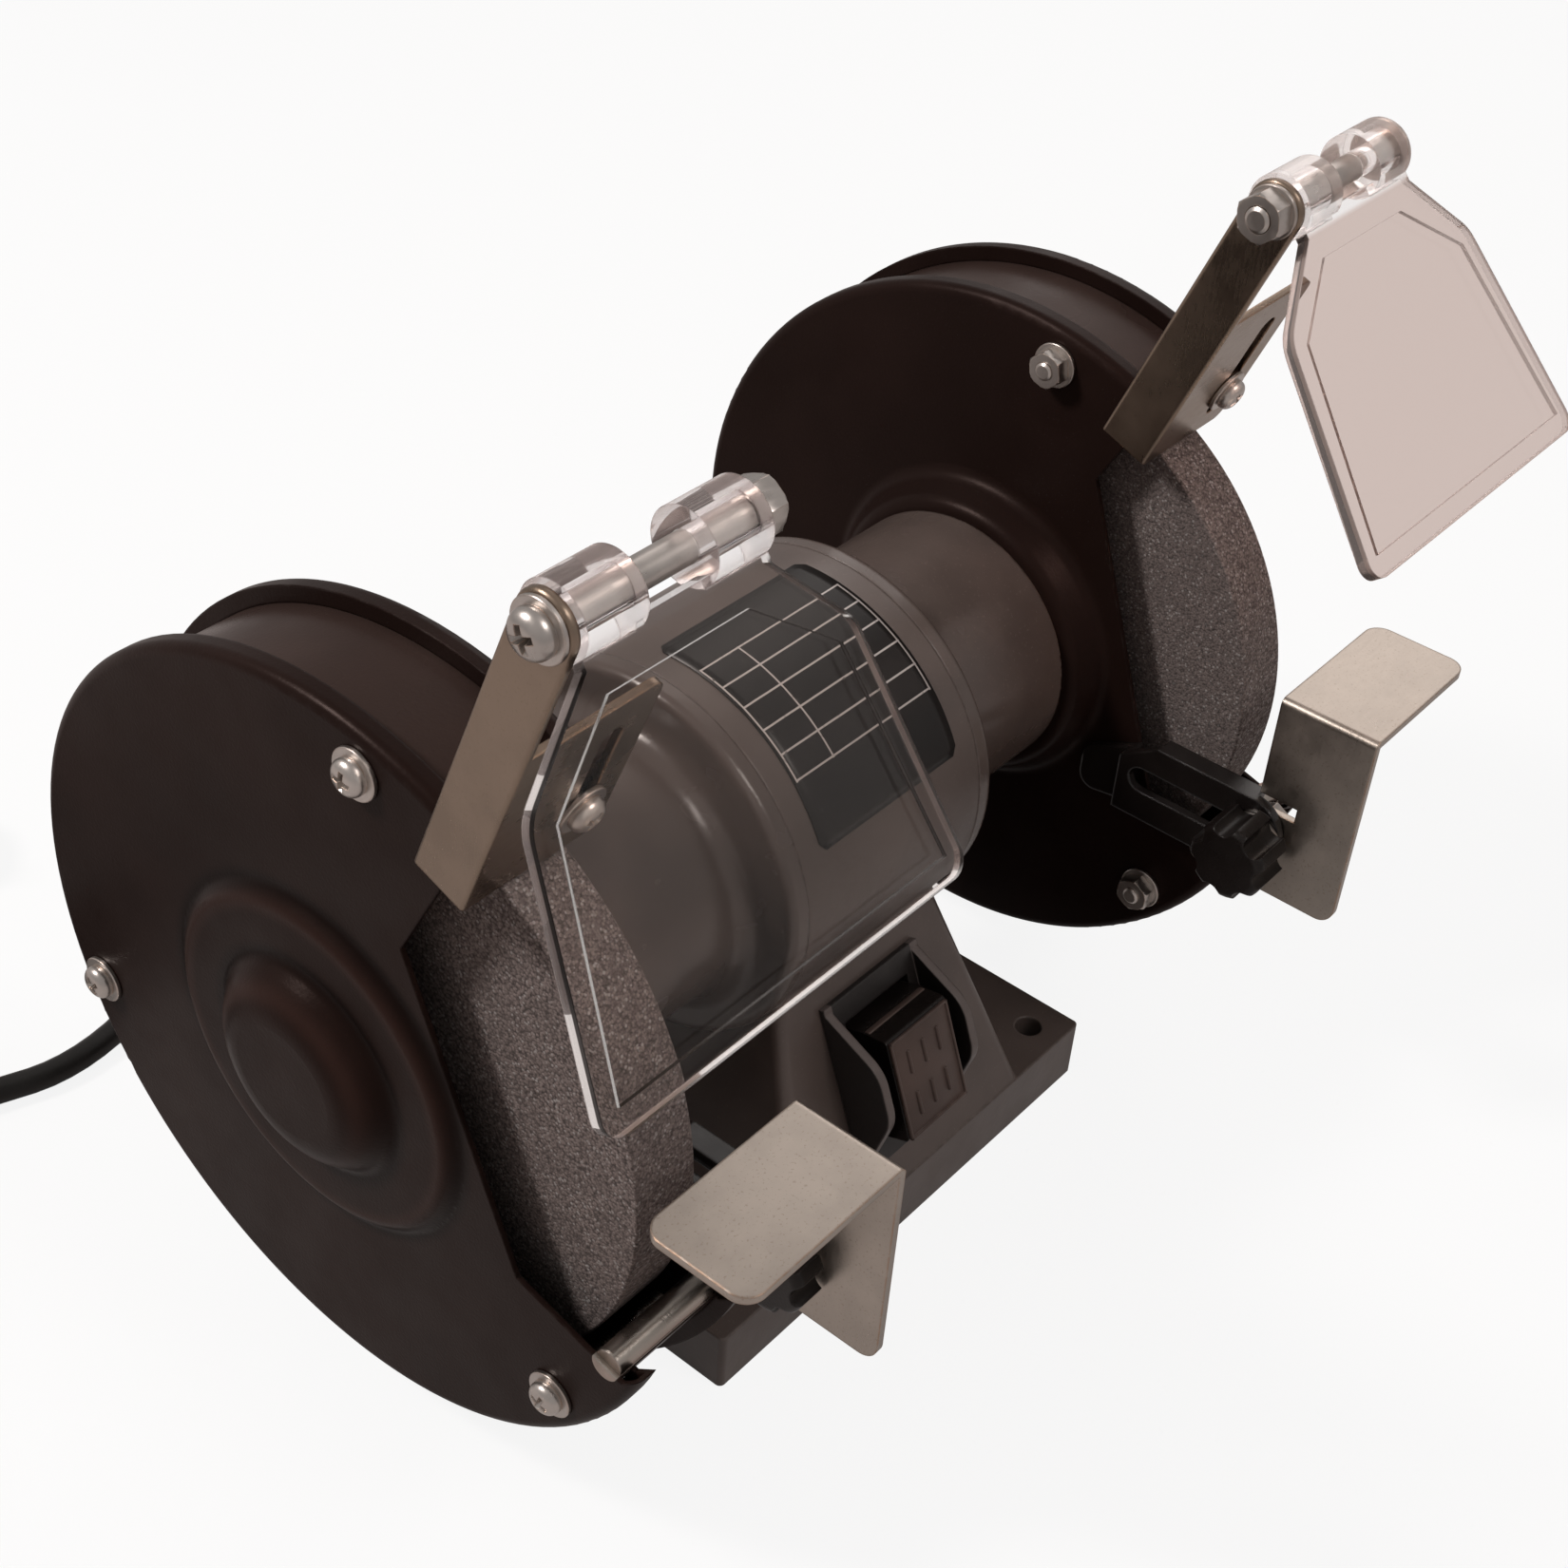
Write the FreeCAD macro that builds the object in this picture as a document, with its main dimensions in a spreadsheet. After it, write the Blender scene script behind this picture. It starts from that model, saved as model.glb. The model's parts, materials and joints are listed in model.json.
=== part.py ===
"""Bench grinder: cast motor frame, two guarded wheels, tool rests, eye shields, switch and cord.

Millimetres. The origin is on the underside of the base, below the middle of the shaft.
X runs along the shaft to the right, -Y is the operator's side, Z is up.
"""
import FreeCAD
import Part
import math
import os
import Sketcher
from types import SimpleNamespace

Vector = FreeCAD.Vector

SIZES = {
    # casting
    "base_length": 140.0, "base_width": 124.0, "base_thickness": 16.4, "base_corner": 1.5,
    "hole_pitch_length": 120.0, "hole_pitch_width": 106.0, "hole_radius": 3.5,
    "foot_length": 88.0, "foot_width": 123.0, "pedestal_top_length": 56.0,
    "pedestal_top_width": 75.0, "pedestal_top": 78.0, "pedestal_wall": 6.0, "pedestal_round": 3.0,
    "plate_gauge": 1.5, "plate_recess": 1.8, "plate_length": 96.0, "plate_width": 114.0,
    # motor
    "shaft_height": 102.0, "barrel_radius": 46.4, "barrel_length": 62.0, "barrel_bore": 41.0,
    "bell_flange": 5.3, "bell_spigot": 4.0, "neck_radius": 34.0, "neck_end": 82.0,
    "neck_wall": 5.0, "bearing_radius": 17.5, "bearing_width": 11.0, "bearing_lip": 2.0,
    "seal_radius": 10.0, "core_length": 40.0, "stator_bore": 24.0, "air_gap": 0.4,
    "winding_length": 9.0, "winding_inner": 27.0, "winding_outer": 37.0,
    "shaft_radius": 7.5, "spindle_radius": 6.0, "shoulder_x": 93.0, "shaft_end": 130.5,
    "running_fit": 0.05, "seat_fit": 0.04, "hole_fit": 0.2,
    # wheels
    "wheel_radius": 75.0, "wheel_width": 16.0, "inner_disc": 6.0, "outer_disc": 4.5,
    "disc_radius": 25.0, "nut_length": 9.0, "nut_flat_radius": 10.6,
    # guards
    "guard_radius": 89.4, "cover_gauge": 1.2, "inner_face": 90.7, "outer_face": 123.9,
    "rim_depth": 5.0, "rim_round": 2.4, "band_radius": 85.6, "ring_radius": 41.0,
    "ring_top": 36.6, "tier_radius": 41.0, "tier_height": 2.5, "dome_radius": 25.0,
    "dome_height": 7.0, "wall_lean": 3.0, "dome_round": 12.0, "dome_back": 3.5, "dome_drop": 3.0,
    "mouth_angle": 62.0, "mouth_outer": 48.9,
    "mouth_inner": 62.3, "chord_low_y": 52.0, "chord_low_z": 25.0, "inner_step": 6.0,
    "lip_y": 80.0, "lip_z": 33.0, "hook_y": 96.0, "hook_z": 20.0, "mouth_depth": 130.0,
    "band_start": 60.3, "band_end": 22.7, "bead_radius": 3.2, "bead_reach": 82.0,
    "guard_screw_reach": 80.5, "guard_screw_angle": 80.0, "screw_radius": 2.2,
    "head_radius": 3.9, "head_height": 2.9, "washer_radius": 5.5, "washer_gauge": 1.1,
    "small_nut_radius": 4.7, "small_nut_length": 3.8, "cover_screw_reach": 26.0,
    "cover_screw_length": 10.0,
    # tool rests
    "rest_gauge": 1.8, "rest_front": 114.0, "rest_back": 89.0, "rest_top": 24.0,
    "rest_bottom": -30.5, "rest_near": 86.9, "rest_width": 43.5, "rest_round": 4.5,
    "lug_back": 81.5, "lug_top": -7.1, "lug_bottom": -25.5, "notch_top": -3.3,
    "notch_front": 99.0, "clamp_y": 91.0, "clamp_z": -15.0, "stud_radius": 3.0,
    "arm_near": 84.2, "arm_gauge": 2.4, "arm_front": 97.3, "arm_top": -4.0,
    "arm_bottom": -26.5, "arm_step": 52.0, "arm_round": 9.0, "foot_back": 39.5, "foot_top": -16.5,
    "foot_bottom": -29.0, "flange_back": 62.0, "flange_front": 89.0, "flange_width": 5.6,
    "slot_back": 58.8, "slot_front": 91.0, "slot_radius": 3.4, "knob_radius": 10.0,
    "right_knob_height": 12.0, "left_knob_height": 7.6, "knob_scallop": 3.0, "knob_scallop_reach": 10.6,
    "clamp_washer": 7.5, "clamp_washer_gauge": 1.2, "clamp_gap": 0.1, "clamp_nut": 5.7,
    "clamp_nut_length": 5.0, "arm_drop": 6.5, "arm_shoulder": 5.0,
    # spark plates and eye shields
    "bracket_gauge": 1.6, "bracket_y": 41.9, "bracket_z": 65.1, "bracket_lean": 21.0,
    "strip_offset": 18.6, "strip_width": 13.0, "strip_length": 78.0, "strip_round": 6.2,
    "plate_reach": 33.0, "plate_height": 44.0, "plate_slot_x": 23.6, "plate_slot_low": 8.5,
    "plate_slot_high": 33.5, "plate_slot_radius": 2.7, "tab_low": 7.0, "tab_high": 26.0,
    "tab_gauge": 2.0, "clamp_screw_up": 13.5, "pivot_up": 71.5, "pivot_radius": 3.0,
    "shield_middle": 21.5, "shield_field_half": 16.5, "shield_mid_half": 38.8,
    "shield_low_half": 46.8, "shield_top": 5.0, "shield_shoulder": 8.5, "shield_mid": 24.5,
    "shield_low": 76.5, "shield_gauge": 3.0, "shield_back": 0.6, "shield_border": 4.8,
    "shield_relief": 1.0, "knuckle_radius": 7.4, "knuckle_start": 2.4, "knuckle_length": 13.6,
    "knuckle_pitch": 29.8, "shield_tilt_left": 28.0, "shield_tilt_right": 40.0,
    "pivot_head": 5.2, "pivot_washer": 6.8, "pivot_head_height": 3.6,
    # switch
    "switch_z": 46.5, "switch_half_width": 17.2, "switch_half_height": 23.0,
    "cheek_gauge": 2.4, "cheek_rise": 14.0, "switch_depth": 18.0, "well_half_width": 11.6,
    "well_half_height": 16.5, "well_depth": 12.0, "bezel_gauge": 1.6, "rocker_half_width": 11.0,
    "rocker_half_height": 14.0, "rocker_rise": 12.5, "rocker_dip": 5.0, "rocker_pivot": 4.0,
    "rocker_pin": 2.0, "rocker_pin_reach": 0.8, "switch_relief": 7.5, "switch_relief_depth": 8.5,
    # capacitor and cord
    "capacitor_radius": 15.0, "capacitor_length": 55.0, "cord_radius": 3.3,
    "gland_x": 20.0, "gland_z": 8.2, "gland_length": 26.0, "gland_flange": 7.0,
    "gland_root": 6.0, "coil_inner": 28.0, "coil_pitch": 8.7, "coil_step": 7.3, "coil_tail": 22.0,
    "tie_gauge": 1.0, "tie_width": 12.0, "tie_gap": 0.25, "floor_gap": 0.05,
    "plug_radius": 18.5, "plug_height": 22.0, "plug_sleeve": 16.0, "pin_radius": 2.4,
    "pin_length": 19.0, "pin_pitch": 19.0,
}
SIDES = (("left", -1), ("right", 1))
COIL_HALF_TURNS = 5
SCREWS_PER_GUARD = 3
KNOB_LOBES = 7


class Size:
    """A length or angle that keeps its number beside its spreadsheet expression."""

    def __init__(self, value, text=None):
        self.value = float(value)
        self.text = text or f"({self.value!r})"

    def __add__(self, other):
        other = sized(other)
        return Size(self.value + other.value, f"({self.text} + {other.text})")

    def __sub__(self, other):
        other = sized(other)
        return Size(self.value - other.value, f"({self.text} - {other.text})")

    def __mul__(self, other):
        other = sized(other)
        return Size(self.value * other.value, f"({self.text} * {other.text})")

    def __truediv__(self, other):
        other = sized(other)
        return Size(self.value / other.value, f"({self.text} / {other.text})")

    def __neg__(self):
        return Size(-self.value, f"(0 - {self.text})")


def sized(value):
    """The value as a Size."""
    return value if isinstance(value, Size) else Size(value)


def cosine(angle):
    """Cosine of an angle in degrees."""
    angle = sized(angle)
    return Size(math.cos(math.radians(angle.value)), f"cos({angle.text} * 1 deg)")


def sine(angle):
    """Sine of an angle in degrees."""
    angle = sized(angle)
    return Size(math.sin(math.radians(angle.value)), f"sin({angle.text} * 1 deg)")


def polar(radius, angle):
    """Point (y, z) about the shaft, the angle counted from the front upwards."""
    return -(sized(radius) * cosine(angle)), sized(radius) * sine(angle)


doc = FreeCAD.newDocument("BenchGrinder")
sheet = doc.addObject("Spreadsheet::Sheet", "Dimensions")
for row, (name, number) in enumerate(SIZES.items(), start=1):
    sheet.set(f"A{row}", name)
    sheet.set(f"B{row}", str(number))
    sheet.setAlias(f"B{row}", name)
doc.recompute()
d = SimpleNamespace(**{name: Size(number, f"Dimensions.{name}") for name, number in SIZES.items()})
NONE = Size(0)
pieces = []


def bind(item, path, size):
    """Drive one property of a document object by a size."""
    item.setExpression(path, sized(size).text)


def move(item, across=NONE, along=NONE, up=NONE, turn=None, axis=Vector(1, 0, 0)):
    """Place an object, its coordinates and its turn driven by sizes."""
    if turn is not None:
        item.Placement = FreeCAD.Placement(Vector(), FreeCAD.Rotation(axis, sized(turn).value))
        bind(item, "Placement.Rotation.Angle", turn)
    for letter, size in zip("xyz", (across, along, up)):
        bind(item, f"Placement.Base.{letter}", size)
    return item


def new_body(label, up=None):
    """Empty body that becomes one piece; `up` lifts it, by default to the shaft."""
    body = doc.addObject("PartDesign::Body", label)
    body.Label = label
    move(body, up=d.shaft_height if up is None else up)
    pieces.append(body)
    return body


def origin_item(body, role):
    """Plane or axis of a body's origin by its role."""
    return next(item for item in body.Origin.OriginFeatures if item.Role == role)


def sketch_on(body, role, offset=NONE, shift=NONE):
    """Sketch on an origin plane of the body, moved along the plane's normal and up in the plane."""
    sketch = body.newObject("Sketcher::SketchObject", f"{body.Name}_Sketch")
    sketch.AttachmentSupport = [(origin_item(body, role), "")]
    sketch.MapMode = "FlatFace"
    bind(sketch, "AttachmentOffset.Base.y", shift)
    bind(sketch, "AttachmentOffset.Base.z", offset)
    return sketch


def pin(sketch, geometry, point, across, up):
    """Tie a sketch point to the sketch's origin by two driven distances."""
    for kind, size in (("DistanceX", across), ("DistanceY", up)):
        size = sized(size)
        number = sketch.addConstraint(
            Sketcher.Constraint(kind, -1, 1, geometry, point, size.value))
        sketch.setExpression(f"Constraints[{number}]", size.text)


def polygon(sketch, points):
    """Closed straight-sided outline with every corner driven."""
    first = sketch.GeometryCount
    count = len(points)
    spots = [Vector(sized(across).value, sized(up).value, 0) for across, up in points]
    for index in range(count):
        sketch.addGeometry(Part.LineSegment(spots[index], spots[(index + 1) % count]))
    for index in range(count):
        after = first + (index + 1) % count
        sketch.addConstraint(Sketcher.Constraint("Coincident", first + index, 2, after, 1))
    for index, (across, up) in enumerate(points):
        pin(sketch, first + index, 1, across, up)
    return sketch


def rectangle(sketch, left, right, low, high):
    """Driven rectangle."""
    return polygon(sketch, [(left, low), (right, low), (right, high), (left, high)])


def circle(sketch, across, up, radius):
    """Driven circle."""
    spot = Vector(sized(across).value, sized(up).value, 0)
    number = sketch.addGeometry(Part.Circle(spot, Vector(0, 0, 1), radius.value))
    pin(sketch, number, 3, across, up)
    size = sketch.addConstraint(Sketcher.Constraint("Radius", number, radius.value))
    sketch.setExpression(f"Constraints[{size}]", radius.text)
    return sketch


def slot(sketch, first, last, radius):
    """Round-ended slot between two driven points."""
    start = Vector(sized(first[0]).value, sized(first[1]).value, 0)
    end = Vector(sized(last[0]).value, sized(last[1]).value, 0)
    heading = math.atan2(end.y - start.y, end.x - start.x)
    side = Vector(-math.sin(heading), math.cos(heading), 0) * radius.value
    arcs = []
    for middle, begin in ((start, heading + math.pi / 2), (end, heading - math.pi / 2)):
        ring = Part.Circle(middle, Vector(0, 0, 1), radius.value)
        arcs.append(sketch.addGeometry(Part.ArcOfCircle(ring, begin, begin + math.pi)))
    low = sketch.addGeometry(Part.LineSegment(start - side, end - side))
    high = sketch.addGeometry(Part.LineSegment(end + side, start + side))
    ends = ((arcs[0], 2, low, 1), (low, 2, arcs[1], 1), (arcs[1], 2, high, 1), (high, 2, arcs[0], 1))
    for end_pair in ends:
        sketch.addConstraint(Sketcher.Constraint("Tangent", *end_pair))
    sketch.addConstraint(Sketcher.Constraint("Equal", arcs[0], arcs[1]))
    pin(sketch, arcs[0], 3, *first)
    pin(sketch, arcs[1], 3, *last)
    size = sketch.addConstraint(Sketcher.Constraint("Radius", arcs[0], radius.value))
    sketch.setExpression(f"Constraints[{size}]", radius.text)
    return sketch


def feature(body, kind, sketch):
    """Feature of the named kind made from a sketch."""
    item = body.newObject(f"PartDesign::{kind}", f"{body.Name}_{kind}")
    item.Profile = sketch
    return item


def pad(body, sketch, length):
    """Pad along the sketch's normal."""
    item = feature(body, "Pad", sketch)
    bind(item, "Length", length)
    doc.recompute()
    return item


def pocket(body, sketch, depth):
    """Pocket against the sketch's normal."""
    item = feature(body, "Pocket", sketch)
    bind(item, "Length", depth)
    doc.recompute()
    return item


def revolve(body, points, along=NONE, up=NONE):
    """Turned solid from points (x, radius) about X, or about a line beside it."""
    sketch = polygon(sketch_on(body, "XY_Plane", up, along), points)
    item = feature(body, "Revolution", sketch)
    item.ReferenceAxis = (sketch, ["H_Axis"])
    item.Angle = 360
    doc.recompute()
    return item


def pattern(body, original, axis_role, count):
    """Polar pattern of one feature round an origin axis."""
    item = body.newObject("PartDesign::PolarPattern", f"{body.Name}_Pattern")
    item.Originals = [original]
    item.Axis = (origin_item(body, axis_role), [""])
    item.Angle = 360
    item.Occurrences = count
    body.Tip = item
    doc.recompute()
    return item


def fillet(body, names, radius):
    """Round the named edges of the body's tip."""
    base = body.Tip
    item = body.newObject("PartDesign::Fillet", f"{body.Name}_Fillet")
    item.Base = (base, names)
    bind(item, "Radius", radius)
    doc.recompute()
    return item


def local_edges(body):
    """Edges of the body's tip with their names, in the body's own frame."""
    shape = body.Tip.Shape
    return [(f"Edge{number}", edge) for number, edge in enumerate(shape.Edges, start=1)]


def round_rims(body, rims, radius):
    """Round turned edges given as (x, radius)."""
    wanted = [(sized(x).value, sized(r).value) for x, r in rims]
    names = []
    for name, edge in local_edges(body):
        if not isinstance(edge.Curve, Part.Circle):
            continue
        x, r = edge.Curve.Center.x, edge.Curve.Radius
        if any(abs(x - a) < 1e-3 and abs(r - b) < 1e-3 for a, b in wanted):
            names.append(name)
    fillet(body, names, sized(radius))


def round_corners(body, corners, radius, axis="x"):
    """Round straight edges parallel to an axis, given by their two other coordinates."""
    wanted = [(sized(a).value, sized(b).value) for a, b in corners]
    others = [letter for letter in "xyz" if letter != axis]
    names = []
    for name, edge in local_edges(body):
        if not isinstance(edge.Curve, Part.Line):
            continue
        if abs(getattr(edge.tangentAt(edge.FirstParameter), axis)) < 0.999:
            continue
        spot = edge.CenterOfMass
        place = [getattr(spot, letter) for letter in others]
        if any(abs(place[0] - a) < 1e-3 and abs(place[1] - b) < 1e-3 for a, b in wanted):
            names.append(name)
    fillet(body, names, sized(radius))


def span(side, near, far):
    """Start and length along +X of what lies between two distances from the middle."""
    return (near if side > 0 else -far), far - near


def rod(start, length, radius, along, up, name="Rod"):
    """Cylinder along +X."""
    item = doc.addObject("Part::Cylinder", name)
    bind(item, "Radius", radius)
    bind(item, "Height", length)
    return move(item, start, along, up, Size(90), Vector(0, 1, 0))


def hexagon(start, length, radius, along, up, name="Hexagon"):
    """Six-sided prism along +X."""
    item = doc.addObject("Part::Prism", name)
    item.Polygon = 6
    bind(item, "Circumradius", radius)
    bind(item, "Height", length)
    return move(item, start, along, up, Size(90), Vector(0, 1, 0))


def fuse(label, items):
    """Union of several solids."""
    item = doc.addObject("Part::MultiFuse", label)
    item.Label = label
    item.Shapes = items
    item.Refine = True
    return item


def cut(label, base, tool):
    """One solid less another."""
    item = doc.addObject("Part::Cut", label)
    item.Label = label
    item.Base = base
    item.Tool = tool
    item.Refine = True
    return item


def group(label, items):
    """Identical pieces handed over as one node."""
    item = doc.addObject("Part::Compound", label)
    item.Label = label
    item.Links = items
    pieces.append(item)
    return item


def frame_casting():
    """Base flange, tapering pedestal and motor barrel in one hollow casting."""
    body = new_body("motor_frame", NONE)
    low = rectangle(sketch_on(body, "XY_Plane", d.base_thickness), -(d.foot_length / 2),
                    d.foot_length / 2, -(d.foot_width / 2), d.foot_width / 2)
    high = rectangle(sketch_on(body, "XY_Plane", d.pedestal_top), -(d.pedestal_top_length / 2),
                     d.pedestal_top_length / 2, -(d.pedestal_top_width / 2),
                     d.pedestal_top_width / 2)
    pedestal = feature(body, "AdditiveLoft", low)
    pedestal.Sections = [high]
    doc.recompute()
    slanted = [name for name, edge in local_edges(body) if edge.BoundBox.ZLength > 30]
    fillet(body, slanted, d.pedestal_round)
    half_x, half_y = d.base_length / 2, d.base_width / 2
    flange = rectangle(sketch_on(body, "XY_Plane"), -half_x, half_x, -half_y, half_y)
    pad(body, flange, d.base_thickness)
    round_corners(body, [(a, b) for a in (-half_x, half_x) for b in (-half_y, half_y)],
                  d.base_corner, "z")
    barrel_start = -(d.barrel_length / 2)
    ring = circle(sketch_on(body, "YZ_Plane", barrel_start), NONE, d.shaft_height, d.barrel_radius)
    pad(body, ring, d.barrel_length)
    bore = circle(sketch_on(body, "YZ_Plane", d.barrel_length / 2), NONE, d.shaft_height,
                  d.barrel_bore)
    pocket(body, bore, d.barrel_length)
    beside = d.base_length / 2 - d.barrel_length / 2
    for start in (d.base_length / 2, -(d.barrel_length / 2)):
        shoulder = circle(sketch_on(body, "YZ_Plane", start), NONE, d.shaft_height,
                          d.barrel_radius + d.hole_fit)
        pocket(body, shoulder, beside)
    wall = d.pedestal_wall
    low = rectangle(sketch_on(body, "XY_Plane"), wall - d.foot_length / 2,
                    d.foot_length / 2 - wall, wall - d.foot_width / 2, d.foot_width / 2 - wall)
    high = rectangle(sketch_on(body, "XY_Plane", d.pedestal_top - wall),
                     wall - d.pedestal_top_length / 2, d.pedestal_top_length / 2 - wall,
                     wall - d.pedestal_top_width / 2, d.pedestal_top_width / 2 - wall)
    hollow = feature(body, "SubtractiveLoft", low)
    hollow.Sections = [high]
    doc.recompute()
    recess = rectangle(sketch_on(body, "XY_Plane", d.plate_recess), -(d.plate_length / 2) - d.hole_fit,
                       d.plate_length / 2 + d.hole_fit, -(d.plate_width / 2) - d.hole_fit,
                       d.plate_width / 2 + d.hole_fit)
    pocket(body, recess, d.plate_recess)
    holes = sketch_on(body, "XY_Plane", d.base_thickness)
    for side in (-1, 1):
        for end in (-1, 1):
            circle(holes, d.hole_pitch_length / 2 * side, d.hole_pitch_width / 2 * end, d.hole_radius)
    pocket(body, holes, d.base_thickness)
    taps = sketch_on(body, "XY_Plane", d.base_thickness - 4)
    for spot in plate_screw_places():
        circle(taps, *spot, d.screw_radius + d.seat_fit)
    pocket(body, taps, d.base_thickness - 4)
    inlet = circle(sketch_on(body, "XZ_Plane", -(d.base_width / 2) - 5), d.gland_x, d.gland_z,
                   d.gland_root + d.seat_fit)
    entry = feature(body, "Pocket", inlet)
    entry.Reversed = True
    bind(entry, "Length", wall * 3)
    doc.recompute()
    half = d.switch_half_width - d.cheek_gauge + d.hole_fit
    window = rectangle(sketch_on(body, "XZ_Plane", d.foot_width / 2 + 10), -half, half,
                       d.switch_z - d.well_half_height - 3, d.switch_z + d.well_half_height + 3)
    pocket(body, window, d.foot_width * 0.4)
    relief = rectangle(sketch_on(body, "XZ_Plane", d.foot_width / 2 - d.switch_relief_depth), -half, half,
                       d.switch_z - d.well_half_height - d.switch_relief, d.switch_z)
    pocket(body, relief, d.foot_width / 4)


def plate_screw_places():
    """Centres of the bottom plate's screws."""
    return [((d.plate_length / 2 - 3.5) * side, (d.plate_width / 2 - 10) * end)
            for side in (-1, 1) for end in (-1, 1)]


def bottom_plate():
    """Sheet closing the underside, with its screws."""
    body = new_body("base_plate", d.plate_recess - d.plate_gauge)
    outline = rectangle(sketch_on(body, "XY_Plane"), -(d.plate_length / 2), d.plate_length / 2,
                        -(d.plate_width / 2), d.plate_width / 2)
    pad(body, outline, d.plate_gauge)
    holes = sketch_on(body, "XY_Plane", d.plate_gauge)
    for spot in plate_screw_places():
        circle(holes, *spot, d.screw_radius + d.hole_fit)
    pocket(body, holes, d.plate_gauge)
    screws = []
    for across, along in plate_screw_places():
        shank = doc.addObject("Part::Cylinder", "PlateScrew")
        bind(shank, "Radius", d.screw_radius)
        bind(shank, "Height", Size(9))
        move(shank, across, along, d.floor_gap)
        screws.append(shank)
    group("base_plate_screws", screws)


def end_bell(label, side):
    """Motor end bell: spigot, flange with rounded shoulder, neck and bearing seat."""
    body = new_body(label)
    seam = d.barrel_length / 2
    flange = seam + d.bell_flange
    spigot = d.barrel_bore - d.seat_fit
    seat = d.bearing_radius + d.seat_fit
    stop = d.neck_end - d.bearing_lip
    profile = [
        (seam - d.bell_spigot, spigot), (seam, spigot), (seam, d.barrel_radius),
        (flange, d.barrel_radius), (flange, d.neck_radius), (d.neck_end, d.neck_radius),
        (d.neck_end, d.seal_radius), (stop, d.seal_radius), (stop, seat),
        (stop - d.bearing_width - 5, seat), (stop - d.bearing_width - 5, d.neck_radius - d.neck_wall),
        (seam, d.neck_radius - d.neck_wall), (seam, spigot - 2.4), (seam - d.bell_spigot, spigot - 2.4),
    ]
    revolve(body, [(x * side, r) for x, r in profile])
    round_rims(body, [(flange * side, d.barrel_radius)], Size(2.2))
    round_rims(body, [(flange * side, d.neck_radius)], Size(6))
    start = d.neck_end if side > 0 else -(d.neck_end - d.cover_screw_length - 1)
    taps = sketch_on(body, "YZ_Plane", start)
    for spot in cover_screw_places():
        circle(taps, *spot, d.screw_radius + d.seat_fit)
    pocket(body, taps, d.cover_screw_length + 1)


def cover_screw_places():
    """Centres of the screws between inner cover and end bell, about the shaft."""
    return [polar(d.cover_screw_reach, 90 + 120 * index) for index in range(SCREWS_PER_GUARD)]


def guard_screw_places():
    """Centres of the guard screws, about the shaft."""
    return [polar(d.guard_screw_reach, d.guard_screw_angle + 120 * index)
            for index in range(SCREWS_PER_GUARD)]


def mouth(corner_radius, step):
    """Outline of a cover's front opening, about the shaft."""
    return [polar(corner_radius, d.mouth_angle), polar(d.mouth_depth, d.mouth_angle),
            (-d.mouth_depth, d.mouth_depth), (-d.mouth_depth, -d.hook_z), (-d.hook_y, -d.hook_z),
            (-d.lip_y, -d.lip_z), (-(d.chord_low_y + step), step / 2 - d.chord_low_z)]


def open_front(body, outline):
    """Cut an opening right through a guard piece."""
    reach = d.outer_face + 40
    pocket(body, polygon(sketch_on(body, "YZ_Plane", reach), outline), reach * 2)


def drill(body, places, radius):
    """Holes along the shaft's direction right through a piece."""
    reach = d.outer_face + 40
    holes = sketch_on(body, "YZ_Plane", reach)
    for spot in places:
        circle(holes, *spot, radius)
    pocket(body, holes, reach * 2)


def outer_cover(label, side):
    """Pressed outer cover: flat face with hollow rim, two-tier dome set back from the opening."""
    body = new_body(label)
    face, gauge, rim = d.outer_face, d.cover_gauge, d.guard_radius
    lip = d.band_radius + d.seat_fit
    disc = [
        (face - d.rim_depth, rim), (face, rim), (face, NONE), (face - gauge, NONE),
        (face - gauge, rim - gauge), (face - d.rim_depth + gauge, rim - gauge),
        (face - d.rim_depth + gauge, lip), (face - d.rim_depth, lip),
    ]
    revolve(body, [(x * side, r) for x, r in disc])
    round_rims(body, [(face * side, rim)], d.rim_round)
    round_rims(body, [((face - gauge) * side, rim - gauge)], d.rim_round - gauge)
    drill(body, [(d.dome_back, -d.dome_drop)], d.tier_radius - gauge)
    tier, dome = face + d.tier_height, face + d.tier_height + d.dome_height
    shoulder, crown = d.tier_radius - d.wall_lean, d.dome_radius - d.wall_lean * 2
    press = [
        (face, d.tier_radius), (tier, shoulder), (tier, d.dome_radius), (dome, crown), (dome, NONE),
        (dome - gauge, NONE), (dome - gauge, crown - gauge), (tier - gauge, d.dome_radius - gauge),
        (tier - gauge, shoulder - gauge), (face - gauge, d.tier_radius - gauge),
    ]
    revolve(body, [(x * side, r) for x, r in press], d.dome_back, -d.dome_drop)
    round_rims(body, [(dome * side, crown)], d.dome_round)
    round_rims(body, [((dome - gauge) * side, crown - gauge)], d.dome_round - gauge)
    round_rims(body, [(tier * side, shoulder), (tier * side, d.dome_radius)], Size(3))
    round_rims(body, [(face * side, d.tier_radius)], Size(2.6))
    open_front(body, mouth(d.mouth_outer, NONE))
    drill(body, guard_screw_places(), d.screw_radius + d.hole_fit)


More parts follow.
